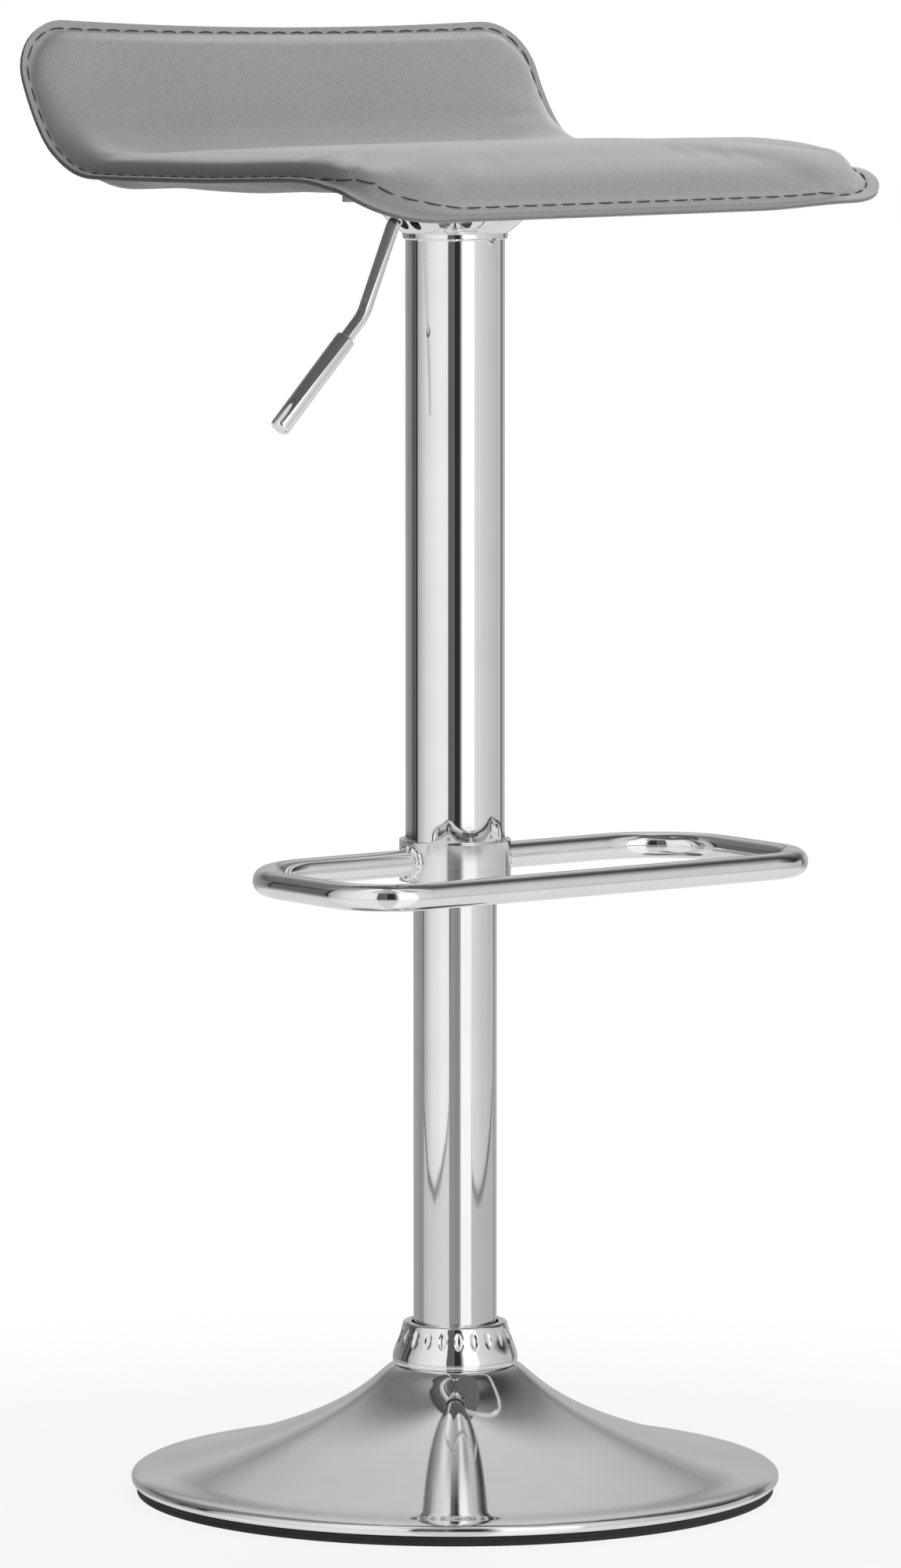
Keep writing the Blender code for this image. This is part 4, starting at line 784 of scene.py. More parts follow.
def turned_piece(name, outline, finish, segments=128, **dimples):
    sizes = {"Dimples": 1, "Depth": 0.0, "Width": 1.0, "Height": 1.0, "Middle": 0.0, "Inside": 0.0, **dimples}
    guide = guide_line(name, [(p[0], 0, p[1]) for p in outline], closed=True)
    run_group(guide, TURNED, finish, Segments=segments, **sizes)
    return close_up(guide)


def pipe(name, outer, inner, bottom, top, bevel, finish):
    """A plain length of tube about Z."""
    corners = [(outer, top), (outer, bottom), (inner, bottom), (inner, top)]
    return turned_piece(name, rounded(corners, bevel), finish)


# Base

def dish_outline():
    flare = near(NECK_RADIUS, NECK_HEIGHT, DISH_FLARE)
    brow = near(DISH_SHOULDER_RADIUS, DISH_SHOULDER_HEIGHT, DISH_BROW)
    roll = near(DISH_RADIUS, DISH_RIM_HEIGHT, DISH_ROLL)
    return bezier([*flare, brow[0]], 72) + bezier([*brow, *roll[:2]], 24)[1:]


def dish_height_at(radius):
    outline = dish_outline()
    for a, b in zip(outline, outline[1:]):
        if a.x <= radius <= b.x:
            return a.y + (b.y - a.y) * (radius - a.x) / (b.x - a.x)
    return NECK_HEIGHT


def make_dish(finishes):
    outer = dish_outline()
    bore = COLUMN_RADIUS + FIT
    lip = DISH_RADIUS - DISH_EDGE_WIDTH
    inside = DISH_RADIUS - DISH_SHEET
    hem_top = DISH_EDGE_HEIGHT + DISH_SHEET
    neck_under = NECK_HEIGHT - DISH_SHEET
    roll = near(DISH_RADIUS, DISH_RIM_HEIGHT, DISH_ROLL)
    hem = near(DISH_RADIUS, DISH_EDGE_HEIGHT, DISH_HEM)
    inner = []
    for before, point, after in list(zip(outer, outer[1:], outer[2:]))[::4]:
        along = (after - before).normalized()
        inner.append(point + Vector((along.y, -along.x)) * DISH_SHEET)
    outline = [(bore, NECK_HEIGHT), (NECK_RADIUS - NECK_LIP, NECK_HEIGHT), *outer]
    outline += bezier([*roll[1:], *hem], 9)[1:]
    outline += [(lip, DISH_EDGE_HEIGHT), (lip, hem_top)]
    outline += [(inside - DISH_EDGE_ROUND, hem_top), (inside, DISH_RIM_HEIGHT)]
    outline += [*inner[::-1], (NECK_RADIUS - NECK_LIP_UNDER, neck_under), (bore, neck_under)]
    dish = turned_piece("dish_shell", outline, finishes["spun_chrome"], 192)
    seat_in(dish, "base", "chrome", "base_dish")


def make_foot_ring(finishes):
    top = DISH_EDGE_HEIGHT - FIT
    lip = DISH_RADIUS - DISH_EDGE_WIDTH - FIT
    inner = FOOT_RING_RADIUS - FOOT_RING_WIDTH
    middle = top * FOOT_GROOVE_PLACE
    corners = [
        (FOOT_RING_RADIUS, top),
        (FOOT_RING_RADIUS, middle + FOOT_GROOVE_HALF),
        (FOOT_RING_RADIUS - FOOT_GROOVE_DEPTH, middle),
        (FOOT_RING_RADIUS, middle - FOOT_GROOVE_HALF),
        (FOOT_RING_RADIUS, 0),
        (inner, 0),
        (inner, top + FOOT_RING_LIP),
        (lip, top + FOOT_RING_LIP),
        (lip, top),
    ]
    ring = turned_piece("foot_ring_rubber", rounded(corners, FOOT_RING_ROUND), finishes["rubber"], 192)
    seat_in(ring, "base", "rubber", "base_rubber_ring")


def make_trim_ring(finishes):
    bottom = dish_height_at(TRIM_BOTTOM_RADIUS) + FIT
    inner_bottom = dish_height_at(TRIM_BOTTOM_RADIUS - TRIM_SHEET) + FIT
    top = bottom + TRIM_HEIGHT
    mouth = near(COLUMN_RADIUS + TRIM_GAP, top, TRIM_MOUTH)
    brow = near(TRIM_TOP_RADIUS, top, TRIM_BROW)
    skirt = near(TRIM_BOTTOM_RADIUS, bottom, TRIM_SKIRT)
    foot = near(TRIM_BOTTOM_RADIUS, bottom, TRIM_FOOT)
    outline = bezier([*mouth, *brow[:2]], 12)
    outline += bezier([*brow[1:], *skirt], 44)[1:]
    outline += bezier(foot, 6)[1:]
    outline += [(TRIM_BOTTOM_RADIUS - TRIM_SHEET, inner_bottom), *near(TRIM_TOP_RADIUS, top, TRIM_INSIDE)]
    outline += [(mouth[0].x, mouth[0].y - TRIM_SHEET)]
    dimples = {
        "Dimples": TRIM_DIMPLES,
        "Depth": TRIM_DIMPLE_DEPTH,
        "Width": TRIM_DIMPLE_WIDTH,
        "Height": TRIM_DIMPLE_HEIGHT,
        "Middle": bottom + TRIM_DIMPLE_MIDDLE,
        "Inside": TRIM_TOP_RADIUS - TRIM_SHEET * TRIM_FACE,
    }
    ring = turned_piece("trim_ring_dimpled", outline, finishes["chrome"], TRIM_DIMPLES * 12, **dimples)
    seat_in(ring, "base", "chrome", "trim_ring")


def make_column(finishes):
    shoulder_bottom = NECK_HEIGHT + FIT
    shoulder_top = shoulder_bottom + COLUMN_SHOULDER_HEIGHT
    foot_top = COLUMN_FOOT + COLUMN_FOOT_PLATE
    corners = [
        (COLUMN_RADIUS, COLUMN_TOP),
        (COLUMN_RADIUS, shoulder_top),
        (COLUMN_SHOULDER, shoulder_top),
        (COLUMN_SHOULDER, shoulder_bottom),
        (COLUMN_RADIUS, shoulder_bottom),
        (COLUMN_RADIUS, COLUMN_FOOT),
        (ROD_HOLE, COLUMN_FOOT),
        (ROD_HOLE, foot_top),
        (COLUMN_BORE, foot_top),
        (COLUMN_BORE, COLUMN_TOP),
    ]
    column = turned_piece("column_tube_plated", rounded(corners, COLUMN_ROUND), finishes["chrome"])
    seat_in(column, "base", "chrome", "column_tube")


# Sleeve, cup and footrest

def make_sleeve(finishes):
    bore = SLEEVE_RADIUS - SLEEVE_WALL
    sleeve = pipe("cover_sleeve_plated", SLEEVE_RADIUS, bore, SLEEVE_BOTTOM, SLEEVE_TOP, SLEEVE_ROUND,
                  finishes["chrome"])
    seat_in(sleeve, "seat", "chrome", "cover_sleeve")


def slot_cutter(width, turn):
    """An upright cutter with a round inner end, pointing along -X and then turned."""
    half = width / 2
    outline = []
    for k in range(13):
        angle = math.pi / 2 - math.pi * k / 12
        outline.append((-SLOT_FOOT_RADIUS - half + half * math.cos(angle), half * math.sin(angle)))
    end = -CUP_TOP_RADIUS - SLOT_CUT_BEYOND
    outline += [(end, -half), (end, half)]
    points = []
    for height in (CUP_BOTTOM + CUP_NECK, CUP_TOP + SLOT_CUT_ABOVE):
        points += [(x, y, height) for x, y in outline]
    cutter = close_up(add_object("slot_cutter", points, (), stacked_faces(len(outline), 2)))
    cutter.data.transform(Matrix.Rotation(turn, 4, "Z"))
    return cutter


def cut_slots(cup):
    for width, turn in ((LEVER_SLOT_WIDTH, 0.0), (SPARE_SLOT_WIDTH, SPARE_SLOT_TURN)):
        cutter = slot_cutter(width, turn)
        cut = cup.modifiers.new("slot", "BOOLEAN")
        cut.object = cutter
        cut.solver = "EXACT"
        keep_result(cup, cut)
        bpy.data.objects.remove(cutter)


def make_cup(finishes):
    neck = SLEEVE_RADIUS + FIT
    foot = neck + CUP_SHEET
    low = CUP_BOTTOM + CUP_NECK
    rise = CUP_TOP - low
    run = CUP_TOP_RADIUS - foot
    outer = bezier([(foot + run * out, low + rise * up) for out, up in CUP_FLARE], 30)
    inner = [(neck, low + CUP_SHEET)]
    inner += [(p.x - CUP_SHEET, p.y + CUP_SHEET) for p in outer[2:-2:3]]
    inner += [(CUP_TOP_RADIUS - CUP_RIM_WIDTH, CUP_TOP)]
    outline = [*outer[::-1], (foot, CUP_BOTTOM), (neck, CUP_BOTTOM), *inner]
    cup = turned_piece("upper_cup_plated", outline, finishes["chrome"], 144)
    cut_slots(cup)
    mesh = cup.data
    mesh.shade_smooth()
    mesh.set_sharp_from_angle(angle=SHARP_ANGLE)
    mesh.materials.clear()
    mesh.materials.append(finishes["chrome"])
    mesh.materials.append(finishes["black_steel"])
    # Painted shade: the cup is chrome all over, but faces looking up or sideways (its inside and slot walls)
    # are painted black for the dark inside
    for face in mesh.polygons:
        face.material_index = 0 if face.normal.z < CUP_PAINTED_SHADE_TILT or face.center.z < low else 1
    seat_in(cup, "seat", "chrome", "upper_cup")


def make_bead(name, path, finish, radius, sides, uneven):
    bead = guide_line(name, path, closed=True)
    run_group(bead, WELD, finish, Radius=radius, Sides=sides, Step=WELD_STEP, **uneven)
    seat_in(close_up(bead, BEAD_ANGLE), "seat", "chrome")


def make_cup_bead(finishes):
    ring = SLEEVE_RADIUS + CUP_BEAD_RADIUS * CUP_BEAD_OUT
    height = CUP_BOTTOM - CUP_BEAD_RADIUS * CUP_BEAD_BELOW
    path = []
    for angle in angles(180):
        drip = CUP_DRIP * math.exp(-((angle - CUP_DRIP_TURN) / CUP_DRIP_BREADTH) ** 2)
        path.append((ring * math.cos(angle), ring * math.sin(angle), height - drip))
    make_bead("cup_weld_bead", path, finishes["chrome"], CUP_BEAD_RADIUS, 12, CUP_BEAD)


def make_collar(finishes):
    top = COLLAR_BOTTOM + COLLAR_HEIGHT
    bore = SLEEVE_RADIUS + FIT
    collar = pipe("footrest_collar_turned", COLLAR_RADIUS, bore, COLLAR_BOTTOM, top, COLLAR_BEVEL,
                  finishes["satin_chrome"])
    seat_in(collar, "seat", "satin_chrome", "footrest_collar")


def make_set_screw(finishes):
    """Grub screw at the back of the collar, with a hexagon socket."""
    outer, socket = [], []
    for angle in angles(SET_SCREW_SIDES):
        part = angle % (math.pi / 3) - math.pi / 6
        reach = SET_SCREW_SOCKET * math.cos(math.pi / 6) / math.cos(part)
        outer.append((SET_SCREW_RADIUS * math.cos(angle), SET_SCREW_RADIUS * math.sin(angle)))
        socket.append((reach * math.cos(angle), reach * math.sin(angle)))
    face = COLLAR_RADIUS + SET_SCREW_PROUD
    rings = [
        (outer, SLEEVE_RADIUS + 2 * FIT, 1.0),
        (outer, face - SET_SCREW_BEVEL, 1.0),
        (outer, face, SET_SCREW_END),
        (socket, face, 1.0),
        (socket, face - SET_SCREW_SOCKET_DEPTH, 1.0),
    ]
    points = []
    for ring, depth, scale in rings:
        points += [(x * scale, depth, FOOTREST_HEIGHT + z * scale) for x, z in ring]
    faces = stacked_faces(SET_SCREW_SIDES, len(rings))
    screw = close_up(add_object("collar_grub_screw", points, (), faces))
    screw.data.materials.append(finishes["black_steel"])
    seat_in(screw, "seat", "black_steel", "collar_set_screw")


def make_footrest(finishes):
    half = FOOTREST_WIDTH / 2
    cope = COLLAR_RADIUS + FIT
    end = cope - FOOTREST_COPE
    turns = [(end, 0), (half, 0), (half, -FOOTREST_REACH), (-half, -FOOTREST_REACH), (-half, 0), (-end, 0)]
    corners = [(x, y, FOOTREST_HEIGHT) for x, y in turns]
    bends = [FOOTREST_REAR_BEND, FOOTREST_FRONT_BEND, FOOTREST_FRONT_BEND, FOOTREST_REAR_BEND]
    loop = guide_line("footrest_loop_plated", filleted(corners, bends, 28))
    run_group(loop, TUBE, finishes["chrome"], Radius=FOOTREST_TUBE_RADIUS, Sides=40)
    for vertex in loop.data.vertices:
        if abs(vertex.co.x) < cope:
            side = math.copysign(1.0, vertex.co.x)
            vertex.co.x = side * math.sqrt(cope ** 2 - vertex.co.y ** 2)
    seat_in(close_up(loop), "seat", "chrome", "footrest_loop")
    ring = FOOTREST_TUBE_RADIUS + WELD_RADIUS * WELD_OUT
    for name, side in (("footrest_weld_left", 1), ("footrest_weld_right", -1)):
        path = []
        for angle in angles(60):
            y = ring * math.cos(angle)
            reach = math.sqrt(COLLAR_RADIUS ** 2 - y * y) + WELD_RADIUS * WELD_ON
            path.append((side * reach, y, FOOTREST_HEIGHT + ring * math.sin(angle)))
        make_bead(name, path, finishes["chrome"], WELD_RADIUS, 14, FOOTREST_BEAD)


# Lever

def make_lever(finishes):
    corners = [Vector((x, 0, z)) for x, z in LEVER_LINE]
    along = (corners[3] - corners[2]).normalized()
    rod_end = corners[3] - along * (GRIP_WALL_END + FIT)
    path = filleted([*corners[:3], rod_end], [LEVER_CUP_BEND_RADIUS, LEVER_ELBOW_RADIUS], 16)
    rod = guide_line("lever_rod_plated", path)
    run_group(rod, TUBE, finishes["chrome"], Radius=LEVER_ROD_RADIUS, Sides=32)
    seat_in(close_up(rod), "lever", "chrome", "lever_rod")
    bore = LEVER_ROD_RADIUS + FIT
    bottom = GRIP_LENGTH - GRIP_WALL_END
    outline = bezier([(bore, 0.0), *near(GRIP_RADIUS, 0.0, GRIP_MOUTH)], 6)
    outline += bezier(near(GRIP_RADIUS, GRIP_LENGTH, GRIP_TIP), 9)
    outline += [(GRIP_AXIS, GRIP_LENGTH), (GRIP_AXIS, bottom), (bore, bottom)]
    grip = turned_piece("lever_grip_plated", outline, finishes["chrome"], 64)
    turn = along.to_track_quat("Z", "Y").to_matrix().to_4x4()
    grip.data.transform(Matrix.Translation(corners[3] - along * GRIP_LENGTH) @ turn)
    seat_in(grip, "lever", "chrome", "lever_grip")


# Padded seat

def guide_point(line, step):
    """A point on a smooth line through the guide points, without overshoot between them."""
    last = len(line) - 1
    index = min(int(step), last - 1)
    t = step - index
    result = []
    for axis in (0, 1):
        values = [p[axis] for p in line]
        slopes = [b - a for a, b in zip(values, values[1:])]

        def tangent(k):
            if k == 0 or k == last:
                return slopes[min(k, last - 1)]
            a, b = slopes[k - 1], slopes[k]
            return 2 * a * b / (a + b) if a * b > 0 else 0.0

        a, b = values[index], values[index + 1]
        p, q = tangent(index), tangent(index + 1)
        result.append((2 * t ** 3 - 3 * t * t + 1) * a + (t ** 3 - 2 * t * t + t) * p
                      + (3 * t * t - 2 * t ** 3) * b + (t ** 3 - t * t) * q)
    return Vector(result)


SEAM_SAMPLES = 1400
SLOPE_STEP = 0.02
SEAM_LAST = len(SEAM_LINE) - 1
SEAM_POINTS = [guide_point(SEAM_LINE, SEAM_LAST * i / SEAM_SAMPLES) for i in range(SEAM_SAMPLES + 1)]
SEAM_LENGTHS = run_lengths(SEAM_POINTS)
SEAT_LENGTH = SEAM_LENGTHS[-1]
CREASE_LENGTH = SEAM_LENGTHS[round(SEAM_SAMPLES * CREASE_STEP / SEAM_LAST)]


def step_at(length):
    """The step along the seam line at a length from the back edge."""
    low = min(bisect.bisect_right(SEAM_LENGTHS, length), SEAM_SAMPLES) - 1
    span = SEAM_LENGTHS[low + 1] - SEAM_LENGTHS[low]
    return SEAM_LAST * (low + (length - SEAM_LENGTHS[low]) / span) / SEAM_SAMPLES


def under_point(step, rise):
    """The underside in side view, offset inwards by rise: flat seat, round heel, upright back."""
    radius = HEEL_RADIUS - rise
    centre = Vector((HEEL_REACH, HEEL_RADIUS - HEEL_DROP))
    if step >= 3:
        stations = [HEEL_REACH] + [p[0] for p in SEAM_LINE[4:]]
        index = min(int(step) - 3, len(stations) - 2)
        y = stations[index] + (stations[index + 1] - stations[index]) * (step - 3 - index)
        return Vector((y, rise - HEEL_DROP * between(y, HEEL_FLAT, HEEL_REACH)))
    if step >= 1:
        angle = HEEL_TURN * (3 - step) / 2
        return centre + Vector((math.sin(angle), -math.cos(angle))) * radius
    end = centre + Vector((math.sin(HEEL_TURN), -math.cos(HEEL_TURN))) * radius
    up = Vector((math.cos(HEEL_TURN), math.sin(HEEL_TURN)))
    return end + up * ((SEAM_LINE[0][1] - end.y) * (1 - step))


class Station:
    """What the seat needs to know at one length along its seam line."""

    known = {}

    def __init__(self, length):
        self.length = min(max(length, 0.0), SEAT_LENGTH)
        self.step = step_at(self.length)
        self.seam = guide_point(SEAM_LINE, self.step)
        ahead = guide_point(SEAM_LINE, min(self.step + SLOPE_STEP, SEAM_LAST))
        behind = guide_point(SEAM_LINE, max(self.step - SLOPE_STEP, 0.0))
        along = (ahead - behind).normalized()
        self.normal = Vector((along.y, -along.x))
        self.half = SEAT_WIDTH / 2
        for corner, to_edge in ((BACK_CORNER, self.length), (FRONT_CORNER, SEAT_LENGTH - self.length)):
            if to_edge < corner:
                self.half -= corner - math.sqrt(max(corner ** 2 - (corner - to_edge) ** 2, 0.0))

    @classmethod
    def at(cls, length):
        key = round(length, 7)
        if key not in cls.known:
            cls.known[key] = cls(key)
        return cls.known[key]


def edge_inset(x, length, margin=0.0, back_corner=BACK_CORNER, front_corner=FRONT_CORNER):
    """How far a point of the unrolled seat lies inside its rounded outline, less a margin."""
    from_side = SEAT_WIDTH / 2 - abs(x) - margin
    from_back = length - margin
    from_front = SEAT_LENGTH - length - margin
    from_end, corner = (from_back, back_corner) if from_back < from_front else (from_front, front_corner)
    if from_side < corner and from_end < corner:
        return corner - math.hypot(corner - from_side, corner - from_end)
    return min(from_side, from_end)


def flank(distance, breadth, fullness=2.0):
    """Share of the full height at a distance from the sewn edge; a fullness of 1 is a straight slope."""
    return 1 - (1 - min(max(distance / breadth, 0.0), 1.0)) ** fullness


def pad_rise(x, length):
    """Height of the padded top above the sewn edge, along the seam's normal."""
    side = SEAT_WIDTH / 2 - LIP_WIDTH
    inset = edge_inset(x, length, LIP_WIDTH, PAD_BACK_CORNER, PAD_FRONT_CORNER)
    if inset <= 0:
        return 0.0
    to_end = min(length, SEAT_LENGTH - length) - LIP_WIDTH
    straight = ((side - abs(x)) ** -4 + to_end ** -4) ** -0.25
    corner_share = flank(inset, straight)
    across = flank(side - abs(x), SIDE_ROLL, SIDE_FULLNESS)
    if length < SEAT_LENGTH / 2:
        lengthwise = flank(to_end, BACK_ROLL) * (1 - BACK_THIN * (1 - between(to_end, 0.0, BACK_TAPER)))
    else:
        lengthwise = flank(to_end, FRONT_ROLL)
    dome = PAD_DOME * (1 - (x / side) ** 2) * (1 - (2 * length / SEAT_LENGTH - 1) ** 2)
    crease = CREASE_DIP * math.exp(-((length - CREASE_LENGTH) / CREASE_BREADTH) ** 2)
    crease *= flank(side - abs(x), CREASE_FADE) ** 2
    return (PAD_CROWN + dome) * across * lengthwise * corner_share - crease


def place(station, x, point):
    share = min(max(x / station.half, -1.0), 1.0)
    dip = BACK_EDGE_DIP * (1 - share * share) * max(1 - station.step, 0.0) ** 2
    dip += BACK_TWIST * share * max(1 - station.step / 2, 0.0)
    dip -= FRONT_CURL * between(share, *CURL_SHARES) * between(station.step, *CURL_STEPS)
    on_lip = max(1 - edge_inset(x, station.length) / LIP_WIDTH, 0.0)
    dip += LIP_DROOP * on_lip * between(station.step, *DROOP_START) * between(station.step, *DROOP_END)
    return Vector((x, point.x, PAD_UNDERSIDE + point.y - dip))


def board_edges():
    half = SEAT_WIDTH / 2
    return 1 - BOARD_INSET / half, 1 - LIP_WIDTH / half


def lip_weight(side, station, x, length):
    """Brings a share across the seat up to 1 towards the seat's ends and its sewn lip."""
    back = between(station.step, BACK_BOARD_END, BACK_LIP_STEP)
    front = between(station.step, FRONT_BOARD_END, FRONT_LIP_STEP)
    weight = 1 - (1 - side) * (1 - max(back, front))
    return weight + (1 - weight) * between(edge_inset(x, length), LIP_WIDTH + LIP_BLEND, LIP_WIDTH)


def under_weight(station, x, length):
    """0 on the flat underside, 1 on the sewn lip, held back under the bevelled board."""
    board, lip = board_edges()
    flat = UNDER_FLAT / (SEAT_WIDTH / 2)
    share = abs(x) / station.half
    free = min(max((share - flat) / (lip - flat), 0.0), 1.0) ** UNDER_CURVE
    rise = max((station.seam - under_point(station.step, 0)).length, BOARD_BEVEL)
    held = BOARD_BEVEL / rise
    held += (1 - held) * between(share, board, lip)
    gap = max(UNDER_BLEND - abs(free - held), 0.0) / UNDER_BLEND
    side = max(min(free, held) - gap * gap * UNDER_BLEND / 4, 0.0)
    side += (1 - side) * between(share, lip - LIP_SHARE, lip)
    return lip_weight(side, station, x, length)


def top_start(x, length):
    station = Station.at(length)
    lift = FIT / 2 + LIP_LEATHER + pad_rise(x, length) * PAD_START
    return place(station, x, station.seam + station.normal * lift)


def under_inside_line(station, x, length):
    under_board = under_point(station.step, BOARD_BOTTOM - FIT)
    at_edge = station.seam - station.normal * (FIT / 2)
    return under_board.lerp(at_edge, under_weight(station, x, length))


def under_inside(x, length):
    station = Station.at(length)
    return place(station, x, under_inside_line(station, x, length))


def under_outside(x, length):
    station = Station.at(length)
    at_edge = station.seam - station.normal * (FIT / 2 + LIP_LEATHER)
    point = under_point(station.step, 0).lerp(at_edge, under_weight(station, x, length))
    return place(station, x, point)


def pad_bottom(x, length):
    """The padding lies on the board and, outside it, on the bottom panel."""
    station = Station.at(length)
    board, lip = board_edges()
    side = between(abs(x) / station.half, board, lip)
    weight = lip_weight(side, station, x, length)
    at_edge = station.seam + station.normal * (FIT / 2)
    over_board = under_point(station.step, BOARD_TOP + FIT).lerp(at_edge, weight)
    over_panel = under_inside_line(station, x, length) + station.normal * FIT
    higher = over_board if (over_board - over_panel).dot(station.normal) > 0 else over_panel
    top = station.seam + station.normal * (FIT / 2 + pad_rise(x, length) * PAD_LEAST)
    lowest = higher if (top - higher).dot(station.normal) > 0 else top
    return place(station, x, lowest)


def ring_side(start, corner_a, end, corner_b, inset, cells):
    """Even points along one side of an inset rounded rectangle, from the middle of one corner to the next."""
    along = (end - start).normalized()
    inward = Vector((-along.y, along.x))
    ra = max(corner_a - inset, 0.0)
    rb = max(corner_b - inset, 0.0)
    first = start + (along + inward) * inset
    last = end + (inward - along) * inset
    line = []
    for k in range(13):
        angle = math.radians(45) * (1 - k / 12)
        line.append(first + along * (ra - ra * math.sin(angle)) + inward * (ra - ra * math.cos(angle)))
    for k in range(13):
        angle = math.radians(45) * k / 12
        line.append(last - along * (rb - rb * math.sin(angle)) + inward * (rb - rb * math.cos(angle)))
    return [here for here, _ in even_steps(line, cells)]


def seat_ring(inset, across, along, left_corner=FRONT_CORNER):
    """Points round the unrolled seat at an inset from its outline, from the back left corner."""
    half = SEAT_WIDTH / 2
    back_left, back_right = Vector((-half, 0)), Vector((half, 0))
    front_right, front_left = Vector((half, SEAT_LENGTH)), Vector((-half, SEAT_LENGTH))
    ring = ring_side(back_left, BACK_CORNER, back_right, BACK_CORNER, inset, across)
    ring += ring_side(back_right, BACK_CORNER, front_right, FRONT_CORNER, inset, along)
    ring += ring_side(front_right, FRONT_CORNER, front_left, left_corner, inset, across)
    ring += ring_side(front_left, left_corner, back_left, BACK_CORNER, inset, along)
    return ring


def seat_layout():
    """Places over the unrolled seat, and its quads: rings along the sewn edge round a plain grid."""
    places = []
    rings = []
    for inset in RIM_INSETS:
        ring = seat_ring(inset, ACROSS_CELLS, ALONG_CELLS)
        rings.append(list(range(len(places), len(places) + len(ring))))
        places += ring
    around = len(rings[0])
    faces = []
    for outer, inner in zip(rings, rings[1:]):
        for k in range(around):
            n = (k + 1) % around
            faces.append((outer[k], outer[n], inner[n], inner[k]))
    last = rings[-1]
    grid = [[0] * (ACROSS_CELLS + 1) for _ in range(ALONG_CELLS + 1)]
    inset = RIM_INSETS[-1]
    half = SEAT_WIDTH / 2 - inset
    for i in range(ALONG_CELLS + 1):
        for j in range(ACROSS_CELLS + 1):
            if i == 0:
                grid[i][j] = last[j]
            elif j == ACROSS_CELLS:
                grid[i][j] = last[ACROSS_CELLS + i]
            elif i == ALONG_CELLS:
                grid[i][j] = last[2 * ACROSS_CELLS + ALONG_CELLS - j]
            elif j == 0:
                grid[i][j] = last[(2 * ACROSS_CELLS + 2 * ALONG_CELLS - i) % around]
            else:
                grid[i][j] = len(places)
                x = -half + 2 * half * j / ACROSS_CELLS
                places.append(Vector((x, inset + (SEAT_LENGTH - 2 * inset) * i / ALONG_CELLS)))
    for i in range(ALONG_CELLS):
        for j in range(ACROSS_CELLS):
            faces.append((grid[i][j], grid[i][j + 1], grid[i + 1][j + 1], grid[i + 1][j]))
    return places, faces, rings[0]


def stitch_line():
    """Points with equal steps round the stitch line, each with the way the line runs there."""
    edge_line = seat_ring(STITCH_INSET, 600, 700)
    padding_line = seat_ring(FRONT_STITCH_INSET, 600, 700, PAD_FRONT_CORNER + LIP_WIDTH)
    line = []
    for edge, pad in zip(edge_line, padding_line):
        line.append(edge.lerp(pad, between(edge.y - SEAT_LENGTH, *FRONT_REACH)))
    line.append(line[0])
    count = round(run_lengths(line)[-1] / STITCH_PITCH)
    return even_steps(line, count, 0.5)


STITCHES = stitch_line()


def sewing_pull(spot):
    """How far the thread pulls the leather in: a groove that changes from stitch to stitch."""
    inset = edge_inset(spot.x, spot.y)
    if inset > GROOVE_FADE[0]:
        return 0.0
    here, way = min(STITCHES, key=lambda stitch: (stitch[0] - spot).length)
    offset = spot - here
    aside = offset - way * offset.dot(way)
    close = math.exp(-(aside.length / GROOVE_BREADTH) ** 2) * between(inset, *GROOVE_FADE)
    return close * (SEAM_GROOVE + PUCKER * between(offset.length, 0.0, STITCH_PITCH / 2))


def swell(points, faces, pinned):
    """Blows the tight cover up a little over its foam with a cloth simulation; returns the moved points."""
    sheet = add_object("cover_in_work", points, (), faces)
    group = sheet.vertex_groups.new(name="held")
    for index, weight in enumerate(pinned):
        group.add([index], weight, "REPLACE")
    cloth = sheet.modifiers.new("cloth", "CLOTH")
    for name, value in CLOTH.items():
        setattr(cloth.settings, name, value)
    cloth.settings.vertex_group_mass = "held"
    cloth.settings.effector_weights.gravity = 0
    cloth.collision_settings.use_collision = False
    cloth.collision_settings.use_self_collision = False
    scene = bpy.context.scene
    for number in range(1, SWELL_STEPS + 1):
        scene.frame_set(number)
    graph = bpy.context.evaluated_depsgraph_get()
    moved = [v.co.copy() for v in sheet.evaluated_get(graph).data.vertices]
    scene.frame_set(1)
    bpy.data.objects.remove(sheet)
    settled = []
    for start, end in zip(points, moved):
        shift = end - start
        reach = SWELL_LIMIT * math.tanh(shift.length / SWELL_LIMIT)
        settled.append(start + shift.normalized() * reach)
    return settled


def face_normals(points, faces):
    normals = [Vector((0, 0, 0)) for _ in points]
    for face in faces:
        a, b, c, d = [points[k] for k in face]
        cross = (c - a).cross(d - b)
        for k in face:
            normals[k] += cross
    return [n.normalized() for n in normals]


def close_panel(name, upper, lower, faces, rim, finishes):
    """A closed panel between two faces over one layout; its cut edge has a finish of its own."""
    offset = len(upper)
    quads = list(faces) + [tuple(offset + k for k in reversed(face)) for face in faces]
    plain = len(quads)
    for a, b in zip(rim, rim[1:] + rim[:1]):
        quads.append((b, a, offset + a, offset + b))
    panel = add_object(name, upper + lower, (), quads)
    panel.data.materials.append(finishes["leather"])
    panel.data.materials.append(finishes["leather_edge"])
    for polygon in panel.data.polygons[plain:]:
        polygon.material_index = 1
    shape = bmesh.new()
    shape.from_mesh(panel.data)
    if shape.calc_volume(signed=True) < 0:
        bmesh.ops.reverse_faces(shape, faces=shape.faces)
    shape.to_mesh(panel.data)
    shape.free()
    panel.data.shade_smooth()
    finer = panel.modifiers.new("finer", "SUBSURF")
    finer.levels = 1
    finer.render_levels = 1
    return panel


